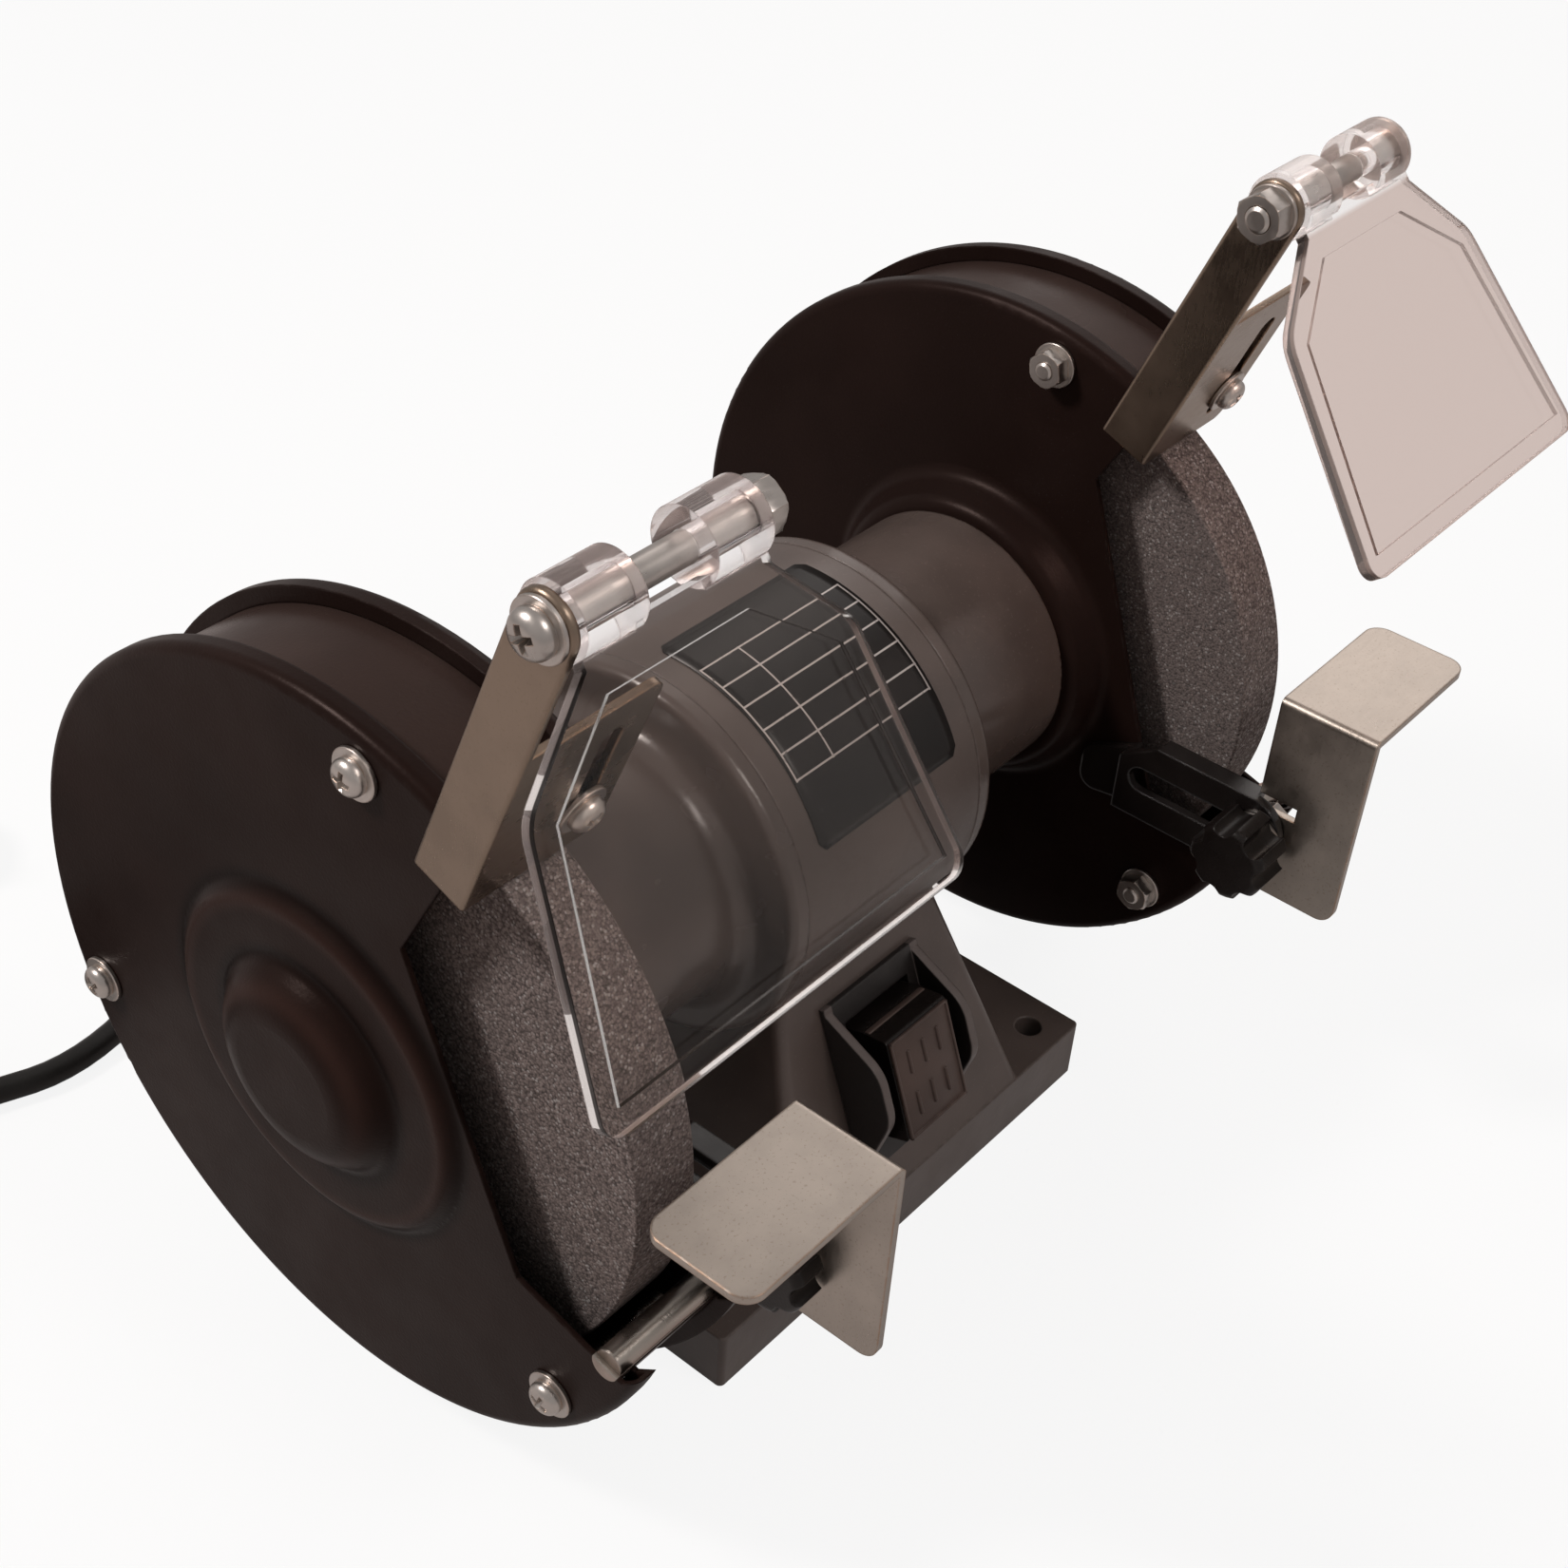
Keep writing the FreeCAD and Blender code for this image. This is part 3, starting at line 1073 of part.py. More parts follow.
def mains_plug(entry, heading):
    """Angled plug lying on its back, pins upwards."""
    shell = doc.addObject("Part::Cylinder", "PlugShell")
    bind(shell, "Radius", d.plug_radius)
    bind(shell, "Height", d.plug_height)
    low = d.floor_gap.value - entry.z
    shell.Placement.Base = Vector((d.plug_sleeve + d.plug_radius - 2).value, 0, low)
    sleeve = doc.addObject("Part::Cone", "PlugSleeve")
    bind(sleeve, "Radius1", d.cord_radius + 1)
    bind(sleeve, "Radius2", d.cord_radius + 4)
    bind(sleeve, "Height", d.plug_sleeve + 4)
    sleeve.Placement.Rotation = FreeCAD.Rotation(Vector(0, 1, 0), 90)
    pins = []
    for sign in (-1, 1):
        item = doc.addObject("Part::Cylinder", "PlugPin")
        bind(item, "Radius", d.pin_radius)
        bind(item, "Height", d.plug_height + d.pin_length)
        item.Placement.Base = Vector((d.plug_sleeve + d.plug_radius - 2).value,
                                     sign * d.pin_pitch.value / 2, low)
        pins.append(item)
    plug = fuse("mains_plug", [shell, sleeve, *pins])
    turn = math.degrees(math.atan2(heading.y, heading.x))
    plug.Placement = FreeCAD.Placement(entry, FreeCAD.Rotation(Vector(0, 0, 1), turn))
    pieces.append(plug)


def check_and_export():
    """Stop on any faulty object, then write one file for each piece."""
    doc.recompute()
    for item in doc.Objects:
        if "Invalid" in item.State or "Error" in item.State:
            raise RuntimeError(f"{item.Label}: {item.State}")
    os.makedirs("parts", exist_ok=True)
    for item in pieces:
        if item.Shape.isNull() or not item.Shape.isValid():
            raise RuntimeError(f"{item.Label}: faulty shape")
        item.Shape.exportStep(f"parts/{item.Label}.step")


frame_casting()
bottom_plate()
motor()
for hand_word, hand in SIDES:
    end_bell(f"{hand_word}_end_bell", hand)
    spindle(hand_word, hand)
    inner_cover(f"{hand_word}_inner_cover", hand)
    outer_cover(f"{hand_word}_outer_cover", hand)
    guard_band(f"{hand_word}_guard_band", hand)
    rest_arm(f"{hand_word}_rest_arm", hand)
    tool_rest(f"{hand_word}_tool_rest", hand)
    rest_clamp(hand_word, hand)
    shield_bracket(f"{hand_word}_shield_bracket", hand)
    shield_pivot(hand_word, hand)
eye_shield("left_eye_shield", -1, d.shield_tilt_left)
eye_shield("right_eye_shield", 1, d.shield_tilt_right)
guard_fasteners()
clamp_screws()
switch()
mains_lead()
check_and_export()
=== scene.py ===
"""Bench grinder in a plain studio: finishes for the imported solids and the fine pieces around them.

Everything is in metres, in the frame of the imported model: X along the shaft, -Y towards the
operator, Z up, the origin under the middle of the shaft on the underside of the base.
"""
import functools
import json
import logging
import math
import operator
from dataclasses import dataclass, field
from enum import Enum
from typing import Any, Callable, ClassVar, Iterable, Iterator, Optional, Sequence, Union

import bmesh
import bpy
from mathutils import Matrix, Vector

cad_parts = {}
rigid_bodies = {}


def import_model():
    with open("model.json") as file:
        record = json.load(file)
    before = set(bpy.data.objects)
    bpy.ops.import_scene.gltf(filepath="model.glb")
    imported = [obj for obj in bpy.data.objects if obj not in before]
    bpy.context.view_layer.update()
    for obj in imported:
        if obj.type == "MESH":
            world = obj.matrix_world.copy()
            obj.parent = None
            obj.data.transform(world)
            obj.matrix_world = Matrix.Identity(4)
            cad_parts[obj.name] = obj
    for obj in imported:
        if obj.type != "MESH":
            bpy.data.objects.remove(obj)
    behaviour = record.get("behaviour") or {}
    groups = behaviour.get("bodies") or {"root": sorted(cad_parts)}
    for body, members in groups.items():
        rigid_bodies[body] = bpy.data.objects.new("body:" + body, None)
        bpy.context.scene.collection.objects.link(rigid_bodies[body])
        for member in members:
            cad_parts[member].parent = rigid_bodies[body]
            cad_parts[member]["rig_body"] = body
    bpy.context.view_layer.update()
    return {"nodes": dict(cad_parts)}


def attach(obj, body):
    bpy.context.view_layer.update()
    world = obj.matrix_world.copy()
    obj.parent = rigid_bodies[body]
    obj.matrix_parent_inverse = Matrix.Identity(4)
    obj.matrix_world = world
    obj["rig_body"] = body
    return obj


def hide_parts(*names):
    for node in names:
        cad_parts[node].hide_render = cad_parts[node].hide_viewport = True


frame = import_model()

log = logging.getLogger("grinder")
MM = 0.001
Colour = tuple[float, float, float]
Point = tuple[float, float, float]
Inputs = dict[Union[str, int], Any]
Material = bpy.types.Material
Shape = bmesh.types.BMesh


def mm(*numbers: float) -> Vector:
    """A vector in metres from millimetres."""
    return Vector(numbers) * MM


def grey(level: float) -> Colour:
    """A neutral colour."""
    return (level, level, level)


def scaled(colour: Colour, share: float) -> Colour:
    """A darker or lighter colour."""
    return tuple(part * share for part in colour)


class Side(Enum):
    """The two ends of the shaft."""

    LEFT = -1
    RIGHT = 1

    @property
    def word(self) -> str:
        """Prefix of the side's node and body names."""
        return self.name.lower()

    @property
    def sign(self) -> int:
        """Sign of X on this side."""
        return self.value


def operation(name: str, swap: bool = False) -> Callable[..., "Signal"]:
    """Make an operator of Signal.

    Args:
        name: the Math node's operation.
        swap: whether the operands change places, as in a reflected operator.

    Returns:
        The method.
    """
    def method(signal: "Signal", *others: Any) -> "Signal":
        """Add the Math node."""
        operands = (*others, signal) if swap else (signal, *others)
        return signal.recipe.node("ShaderNodeMath", {"operation": name}, dict(enumerate(operands)))
    return method


class Signal:
    """A shader socket that turns Python operators into Math nodes."""

    def __init__(self, recipe: "Recipe", socket: bpy.types.NodeSocket) -> None:
        """Wrap an output socket of a recipe's node tree."""
        self.recipe = recipe
        self.socket = socket

    __add__ = __radd__ = operation("ADD")
    __mul__ = __rmul__ = operation("MULTIPLY")
    __sub__, __rsub__ = operation("SUBTRACT"), operation("SUBTRACT", swap=True)
    __truediv__, __rtruediv__ = operation("DIVIDE"), operation("DIVIDE", swap=True)
    __pow__, __rpow__ = operation("POWER"), operation("POWER", swap=True)
    __or__ = __ror__ = operation("MAXIMUM")
    __and__ = __rand__ = operation("MINIMUM")
    __abs__ = operation("ABSOLUTE")
    sine = operation("SINE")

    def rise(self, low: float, high: float, start: float = 0.0, end: float = 1.0) -> "Signal":
        """Smooth step.

        Args:
            low: where the step begins.
            high: where it ends.
            start: result up to the low value.
            end: result from the high one.

        Returns:
            The step.
        """
        return self.recipe.node("ShaderNodeMapRange", {"interpolation_type": "SMOOTHSTEP"},
                                {"Value": self, "From Min": low, "From Max": high,
                                 "To Min": start, "To Max": end})


class Recipe:
    """The node tree of a material or world, written node by node."""

    def __init__(self, owner: Union[Material, bpy.types.World],
                 output: str = "ShaderNodeOutputMaterial") -> None:
        """Start an empty tree with its output node.

        Args:
            owner: the material or world.
            output: type of the output node.
        """
        self.owner = owner
        self.owner.use_nodes = True
        self.tree = self.owner.node_tree
        self.tree.nodes.clear()
        self.output = self.tree.nodes.new(output)
        self.bevels: dict[float, Signal] = {}

    def node(self, kind: str, settings: Optional[dict[str, Any]] = None,
             inputs: Optional[Inputs] = None, out: Union[str, int] = 0) -> Signal:
        """Add any node.

        Args:
            kind: the node's type.
            settings: its properties.
            inputs: values or signals for its sockets by name or place.
            out: which output is wanted.

        Returns:
            That output.
        """
        item = self.tree.nodes.new(kind)
        for key, value in (settings or {}).items():
            setattr(item, key, value)
        for key, value in (inputs or {}).items():
            socket = item.inputs[key]
            if isinstance(value, Signal):
                self.tree.links.new(value.socket, socket)
            elif isinstance(value, (tuple, Vector)) and socket.type == "RGBA":
                socket.default_value = (*value, 1.0)
            else:
                socket.default_value = value
        return Signal(self, item.outputs[out])

    def place(self) -> Signal:
        """Position on the object, in metres."""
        return self.node("ShaderNodeTexCoord", out="Object")

    def axes(self, spot: Optional[Signal] = None) -> tuple[Signal, Signal, Signal]:
        """Split a position or direction.

        Args:
            spot: what to split, or None for the position on the object.

        Returns:
            Its three parts.
        """
        split = self.node("ShaderNodeSeparateXYZ", inputs={0: spot or self.place()})
        outputs = split.socket.node.outputs
        return tuple(Signal(self, outputs[i]) for i in range(3))

    def noise(self, scale: float, detail: float = 2.0, rough: float = 0.5,
              stretch: Optional[Point] = None) -> Signal:
        """Noise over the surface, about 0 to 1.

        Args:
            scale: how many lumps there are in a metre.
            detail: how many finer layers are added.
            rough: how strong those layers are.
            stretch: scale along each axis.

        Returns:
            The noise value.
        """
        where = self.place()
        if stretch:
            where = self.node("ShaderNodeMapping", inputs={"Vector": where, "Scale": stretch})
        inputs: Inputs = {"Vector": where, "Scale": scale, "Detail": detail, "Roughness": rough}
        return self.node("ShaderNodeTexNoise", {}, inputs, "Fac")

    def cells(self, scale: float, what: str = "Distance") -> Signal:
        """Cell pattern: distance to the nearest point, or the cell's random colour."""
        return self.node("ShaderNodeTexVoronoi", {"feature": "F1"},
                         {"Vector": self.place(), "Scale": scale}, what)

    def blend(self, amount: Any, first: Any, second: Any) -> Signal:
        """Colour between two, from the first at 0 to the second at 1."""
        return self.node("ShaderNodeMix", {"data_type": "RGBA"},
                         {0: amount, 6: first, 7: second}, 2)

    def soft_edges(self, radius: float) -> Signal:
        """Normal with its edges rounded over, one node for each radius.

        Args:
            radius: the rounding in metres.

        Returns:
            The normal.
        """
        if radius not in self.bevels:
            self.bevels[radius] = self.node("ShaderNodeBevel", {"samples": 5}, {"Radius": radius})
        return self.bevels[radius]

    def edge_mask(self, radius: float) -> Signal:
        """Mask of a solid's edges.

        Args:
            radius: how far the edges reach, in metres.

        Returns:
            1 along the edges, 0 on the faces.
        """
        flat = self.node("ShaderNodeNewGeometry", out="Normal")
        across = self.node("ShaderNodeVectorMath", {"operation": "DOT_PRODUCT"},
                           {0: self.soft_edges(radius), 1: flat}, "Value")
        return (1 - across).rise(0.004, 0.10)

    def bump(self, height: Signal, strength: float, depth: float,
             normal: Optional[Signal] = None) -> Signal:
        """Normal from a height.

        Args:
            height: the height signal, 0 to 1.
            strength: how much of it shows.
            depth: its depth in metres.
            normal: the normal under it.

        Returns:
            The bumped normal.
        """
        inputs: Inputs = {"Height": height, "Strength": strength, "Distance": depth}
        if normal:
            inputs["Normal"] = normal
        return self.node("ShaderNodeBump", {}, inputs)

    def surface(self, **inputs: Any) -> Signal:
        """A Principled shader; words of a socket's name are joined by underscores."""
        named = {key.replace("_", " "): value for key, value in inputs.items()}
        return self.node("ShaderNodeBsdfPrincipled", {}, named)

    def finish(self, shader: Signal) -> Union[Material, bpy.types.World]:
        """Join a shader to the output and return the material or world."""
        self.tree.links.new(shader.socket, self.output.inputs["Surface"])
        return self.owner

    def coat(self, **inputs: Any) -> Material:
        """Finish with one Principled shader."""
        return self.finish(self.surface(**inputs))

    def mixed(self, amount: Signal, first: Signal, second: Signal) -> Signal:
        """Shader between two, from the first at 0 to the second at 1."""
        return self.node("ShaderNodeMixShader", {}, {0: amount, 1: first, 2: second})


class Finish:
    """A finish that makes its material once."""

    name = "finish"
    made: ClassVar[dict[str, Material]] = {}

    def material(self) -> Material:
        """The finish as a material."""
        if self.name not in self.made:
            self.made[self.name] = self.mix(Recipe(bpy.data.materials.new(self.name)))
        return self.made[self.name]

    def mix(self, recipe: Recipe) -> Material:
        """Write the finish into a recipe.

        Args:
            recipe: the empty tree of a new material.

        Returns:
            The finished material.
        """
        raise NotImplementedError


@dataclass(frozen=True)
class CastPaint(Finish):
    """Semi-gloss grey paint on a die casting."""

    name: str = "casting_paint"
    colour: Colour = (0.095, 0.074, 0.066)
    roughness: float = 0.36

    def mix(self, recipe: Recipe) -> Material:
        """Grey paint with a faint orange peel and paint worn thin on the edges.

        Args:
            recipe: the new material's tree.

        Returns:
            The material.
        """
        cloud = recipe.noise(38, 3)
        speck = recipe.noise(1500, 1).rise(0.66, 0.74)
        edge = recipe.edge_mask(0.001) * recipe.noise(420, 3).rise(0.35, 0.7)
        dark = scaled(self.colour, 0.86)
        pale = scaled(self.colour, 1.14)
        colour = recipe.blend(cloud.rise(0.3, 0.7), dark, pale)
        colour = recipe.blend(speck * 0.35, colour, scaled(self.colour, 1.7))
        colour = recipe.blend(edge * 0.45, colour, scaled(self.colour, 2.3))
        peel = recipe.noise(620, 2)
        normal = recipe.bump(peel, 0.10, 0.0004, recipe.soft_edges(0.001))
        rough = recipe.noise(90, 2).rise(0.2, 0.8, self.roughness - 0.05, self.roughness + 0.07)
        return recipe.coat(Base_Color=colour, Roughness=rough, Normal=normal)


@dataclass(frozen=True)
class GuardPaint(Finish):
    """Satin black powder coat on the pressed guards, their rolled bead left bare."""

    name: str = "guard_paint"
    colour: Colour = (0.0130, 0.0070, 0.0058)
    bare: Colour = (0.46, 0.42, 0.38)
    roughness: float = 0.35
    bead: tuple[float, float] = (-0.07565, 0.07036)
    bead_radius: float = 0.0033
    dome: tuple[float, float] = (0.0035, 0.0990)
    outer_face: float = 0.1200
    # Radii of the dome's ridges that take a painted highlight, then of the hollows that take painted
    # shade.
    crests: tuple[float, ...] = (0.0200, 0.0372)
    grooves: tuple[float, ...] = (0.0262, 0.0415)
    relief_width: float = 0.0032
    dust: Colour = (0.05, 0.044, 0.041)
    worn: Colour = (0.065, 0.056, 0.052)
    shine: float = 0.08
    shine_tint: Colour = (1.0, 0.76, 0.70)

    def relief(self, recipe: Recipe, radii: tuple[float, ...]) -> Signal:
        """Soft rings round the dome of an outer cover, where painted highlight and painted shade go.

        Args:
            recipe: the tree to write in.
            radii: radius of each ring in metres.

        Returns:
            1 on the rings, 0 away from them.
        """
        across, along, up = recipe.axes()
        reach = ((along - self.dome[0]) ** 2 + (up - self.dome[1]) ** 2) ** 0.5
        rings = [1 - abs(reach - radius).rise(0.0, self.relief_width) for radius in radii]
        outside = abs(across).rise(self.outer_face, self.outer_face + 0.001)
        return functools.reduce(operator.or_, rings) * outside

    def mix(self, recipe: Recipe) -> Material:
        """Near-black coat with a fine grain, dust, thin edges, a painted highlight on the dome's
        ridges and painted shade in its hollows.

        Args:
            recipe: the new material's tree.

        Returns:
            The material.
        """
        cloud = recipe.noise(22, 3).rise(0.35, 0.7)
        dust = recipe.noise(2300, 1).rise(0.70, 0.78) * recipe.noise(60, 2).rise(0.45, 0.7)
        edge = recipe.edge_mask(0.0007) * recipe.noise(300, 3).rise(0.4, 0.75)
        colour = recipe.blend(cloud, self.colour, scaled(self.colour, 1.35))
        colour = recipe.blend(dust * 0.5, colour, self.dust)
        colour = recipe.blend(edge * 0.5, colour, self.worn)
        crest_highlight, groove = self.relief(recipe, self.crests), self.relief(recipe, self.grooves)
        # Painted highlight on the dome's ridges and painted shade in its hollows.
        colour = recipe.blend(crest_highlight * 0.75, colour, scaled(self.colour, 2.6))
        colour = recipe.blend(groove * 0.8, colour, scaled(self.colour, 0.25))
        _, along, up = recipe.axes()
        bare = 1 - ((along - self.bead[0]) ** 2 + (up - self.bead[1]) ** 2).rise(
            (self.bead_radius - 0.00005) ** 2, (self.bead_radius + 0.00005) ** 2)
        brushed = recipe.noise(300, 3, stretch=(0.15, 1.0, 1.0)).rise(0.2, 0.8)
        metal = recipe.blend(brushed, scaled(self.bare, 0.7), self.bare)
        colour = recipe.blend(bare, colour, metal)
        grain = recipe.noise(1300, 2)
        normal = recipe.bump(grain, 0.12, 0.0003, recipe.soft_edges(0.0007))
        rough = recipe.noise(70, 2).rise(0.2, 0.8, self.roughness - 0.06, self.roughness + 0.06)
        return recipe.coat(Base_Color=colour, Roughness=rough, Normal=normal, Metallic=bare,
                           Specular_IOR_Level=self.shine, Specular_Tint=self.shine_tint)


@dataclass(frozen=True)
class Zinc(Finish):
    """Zinc plate, satin on sheet and brighter on fasteners."""

    name: str = "zinc_sheet"
    colour: Colour = (0.48, 0.425, 0.375)
    stain: Colour = (0.22, 0.17, 0.12)
    sheared: Colour = (0.34, 0.20, 0.12)
    roughness: float = 0.34
    edge: float = 0.0007
    speckle: float = 0.36

    def mix(self, recipe: Recipe) -> Material:
        """Passivated plate: clouded, speckled and browned along its sheared edges.

        Args:
            recipe: the new material's tree.

        Returns:
            The material.
        """
        cloud = recipe.noise(46, 4, 0.6)
        rolled = recipe.noise(260, 2, stretch=(1.0, 6.0, 1.0))
        speck = recipe.noise(1500, 2).rise(0.60, 0.70)
        edge = recipe.edge_mask(self.edge) * recipe.noise(500, 3).rise(0.25, 0.6)
        colour = recipe.blend(cloud.rise(0.3, 0.7), scaled(self.colour, 0.78), self.colour)
        colour = recipe.blend(speck * self.speckle, colour, self.stain)
        colour = recipe.blend(edge * 0.75, colour, self.sheared)
        rough = (cloud.rise(0.25, 0.75, self.roughness - 0.07, self.roughness + 0.06)
                 + (rolled - 0.5) * 0.12)
        normal = recipe.bump(rolled, 0.06, 0.0002, recipe.soft_edges(self.edge))
        return recipe.coat(Base_Color=colour, Metallic=1.0, Roughness=rough, Normal=normal)


@dataclass(frozen=True)
class Abrasive(Finish):
    """Bonded grit of a grinding wheel."""

    name: str = "wheel_grit"
    colour: Colour = (0.198, 0.166, 0.158)
    grit: float = 1750.0
    glint: Colour = (0.36, 0.34, 0.335)
    bond: Colour = (0.014, 0.012, 0.012)

    def mix(self, recipe: Recipe) -> Material:
        """Grains of two sizes in a dark bond, some of them glinting.

        Args:
            recipe: the new material's tree.

        Returns:
            The material.
        """
        grain = recipe.cells(self.grit)
        tone = recipe.axes(recipe.cells(self.grit, "Color"))[0]
        fine = recipe.noise(self.grit * 2, 2)
        patch = recipe.noise(120, 3)
        colour = recipe.blend(tone, scaled(self.colour, 0.42), scaled(self.colour, 1.58))
        colour = recipe.blend(fine.rise(0.35, 0.65) * 0.7, colour, scaled(self.colour, 0.85))
        colour = recipe.blend(tone.rise(0.89, 0.96), colour, self.glint)
        colour = recipe.blend(grain.rise(0.45, 0.80) * 0.6, colour, self.bond)
        colour = recipe.blend(patch.rise(0.35, 0.75) * 0.3, colour, scaled(self.colour, 0.6))
        height = (1 - grain) * 0.7 + fine * 0.3
        normal = recipe.bump(height, 0.45, 0.0004)
        rough = tone.rise(0.0, 1.0, 0.85, 0.5)
        return recipe.coat(Base_Color=colour, Roughness=rough, Normal=normal,
                           Specular_IOR_Level=0.3)


@dataclass(frozen=True)
class ClearPanel(Finish):
    """Clear moulded plastic, pale where light leaves its edges."""

    name: str = "clear_panel"
    tilt: float = 28.0
    tint: Colour = (0.86, 0.81, 0.78)
    rim: Colour = (0.60, 0.51, 0.495)
    knuckle: Colour = (0.88, 0.85, 0.84)
    pivot: tuple[float, float] = (-0.061455, 0.236180)
    knuckle_radius: float = 0.0077
    step: float = 0.0026
    # Colour of the wall of the border's step: painted shade on the near panel.
    step_tint: Colour = (0.016, 0.013, 0.012)
    index: float = 1.2
    soft: float = 0.0006

    def mix(self, recipe: Recipe) -> Material:
        """Clear body, its narrow faces and edges pale and painted shade on the wall of its border's
        step.

        Args:
            recipe: the new material's tree.

        Returns:
            The material.
        """
        a = math.radians(self.tilt)
        facing = recipe.node("ShaderNodeVectorMath", {"operation": "DOT_PRODUCT"},
                             {0: recipe.node("ShaderNodeTexCoord", out="Normal"),
                              1: Vector((0.0, -math.cos(a), math.sin(a)))}, "Value")
        side = 1 - abs(facing).rise(0.55, 0.92)
        edge = recipe.edge_mask(self.soft)
        scuff = recipe.noise(900, 3, stretch=(1.0, 0.3, 1.0)).rise(0.66, 0.80)
        wave = recipe.noise(55, 2)
        _, along, up = recipe.axes()
        along, up = along - self.pivot[0], up - self.pivot[1]
        reach = along ** 2 + up ** 2
        pane = reach.rise(self.knuckle_radius ** 2, (self.knuckle_radius + 0.001) ** 2)
        depth = up * math.sin(a) - along * math.cos(a)
        front = depth.rise(self.step - 0.0003, self.step) * pane
        # Painted shade on the wall of the border's step, over both body and edge colours.
        wall = front * side
        tint = recipe.blend(wall, recipe.blend(pane, self.knuckle, self.tint), self.step_tint)
        body = recipe.surface(Base_Color=tint, Roughness=scuff.rise(0.0, 1.0, 0.02, 0.22),
                              Transmission_Weight=1.0, IOR=self.index,
                              Normal=recipe.bump(wave, 0.04, self.soft))
        rim = recipe.blend(wall, self.rim, self.step_tint)
        normal = recipe.bump(wave, 0.04, self.soft, recipe.soft_edges(self.soft))
        pale = recipe.surface(Base_Color=rim, Roughness=0.22, Transmission_Weight=0.5,
                              IOR=self.index, Normal=normal)
        amount = (side * 0.42 | edge * 0.6) * (1 - front * 0.8) | wall
        shadow = recipe.node("ShaderNodeLightPath", out="Is Shadow Ray")
        film = recipe.node("ShaderNodeBsdfTransparent", {},
                           {"Color": tuple(math.sqrt(c) for c in self.tint)})
        return recipe.finish(recipe.mixed(shadow, recipe.mixed(amount, body, pale), film))


@dataclass(frozen=True)
class Moulded(Finish):
    """Black or grey moulded plastic and rubber."""

    name: str = "moulded_black"
    colour: Colour = (0.0072, 0.0054, 0.0049)
    roughness: float = 0.28
    grain: float = 1800.0
    relief: float = 0.10
    edge: float = 0.0006
    shine: float = 0.25

    def mix(self, recipe: Recipe) -> Material:
        """Moulding grain, a little dust and rubbed edges.

        Args:
            recipe: the new material's tree.

        Returns:
            The material.
        """
        cloud = recipe.noise(70, 3).rise(0.3, 0.7)
        rubbed = recipe.edge_mask(self.edge) * recipe.noise(350, 2).rise(0.4, 0.7)
        colour = recipe.blend(cloud, self.colour, scaled(self.colour, 1.35))
        pale = tuple(c * 2.4 + 0.01 for c in self.colour)
        colour = recipe.blend(rubbed * 0.5, colour, pale)
        normal = recipe.bump(recipe.noise(self.grain, 2), self.relief, 0.0003,
                             recipe.soft_edges(self.edge))
        rough = recipe.noise(120, 2).rise(0.2, 0.8, self.roughness - 0.05, self.roughness + 0.08)
        return recipe.coat(Base_Color=colour, Roughness=rough, Normal=normal,
                           Specular_IOR_Level=self.shine)


@dataclass(frozen=True)
class SwitchMoulding(Finish):
    """Switch body: dark in its recess and, as painted shade, on the cheeks' sideways faces; the
    forward faces and edges of the cheeks in the casting's grey.
    """

    name: str = "switch_moulding"
    rim: Colour = (0.115, 0.094, 0.088)
    well: Colour = (0.013, 0.0105, 0.0098)
    half_width: float = 0.0146

    def mix(self, recipe: Recipe) -> Material:
        """Grey where a face outside the recess looks forward, dark elsewhere: painted shade on the
        cheeks' sideways faces.

        Args:
            recipe: the new material's tree.

        Returns:
            The material.
        """
        across, _, _ = recipe.axes()
        turned, _, _ = recipe.axes(recipe.node("ShaderNodeTexCoord", out="Normal"))
        outside = abs(across).rise(self.half_width - 0.0002, self.half_width + 0.0001)
        front = 1 - abs(turned).rise(0.5, 0.8)
        edge = recipe.edge_mask(0.0008)
        grain = recipe.noise(1500, 2)
        # Sideways faces of the cheeks take the dark colour as painted shade; their edges keep some
        # grey.
        colour = recipe.blend(outside * front | outside * edge * 0.7, self.well, self.rim)
        colour = recipe.blend(grain.rise(0.5, 0.8) * 0.2, colour, grey(0.035))
        normal = recipe.bump(grain, 0.1, 0.0003, recipe.soft_edges(0.0008))
        rough = recipe.noise(140, 2).rise(0.2, 0.8, 0.34, 0.48)
        return recipe.coat(Base_Color=colour, Roughness=rough, Normal=normal)


@dataclass(frozen=True)
class BareMetal(Finish):
    """Machined or wound metal inside the motor."""

    name: str = "turned_steel"
    colour: Colour = (0.50, 0.49, 0.48)
    roughness: float = 0.28
    pitch: float = 900.0

    def mix(self, recipe: Recipe) -> Material:
        """Fine grooves along the shaft's direction over a clouded metal.

        Args:
            recipe: the new material's tree.

        Returns:
            The material.
        """
        across, _, _ = recipe.axes()
        groove = (across * (self.pitch * 2 * math.pi)).sine() * 0.5 + 0.5
        cloud = recipe.noise(120, 3)
        colour = recipe.blend(cloud.rise(0.3, 0.7), scaled(self.colour, 0.8), self.colour)
        rough = cloud.rise(0.2, 0.8, self.roughness - 0.06, self.roughness + 0.08)
        normal = recipe.bump(groove, 0.15, 0.0002)
        return recipe.coat(Base_Color=colour, Metallic=1.0, Roughness=rough, Normal=normal)


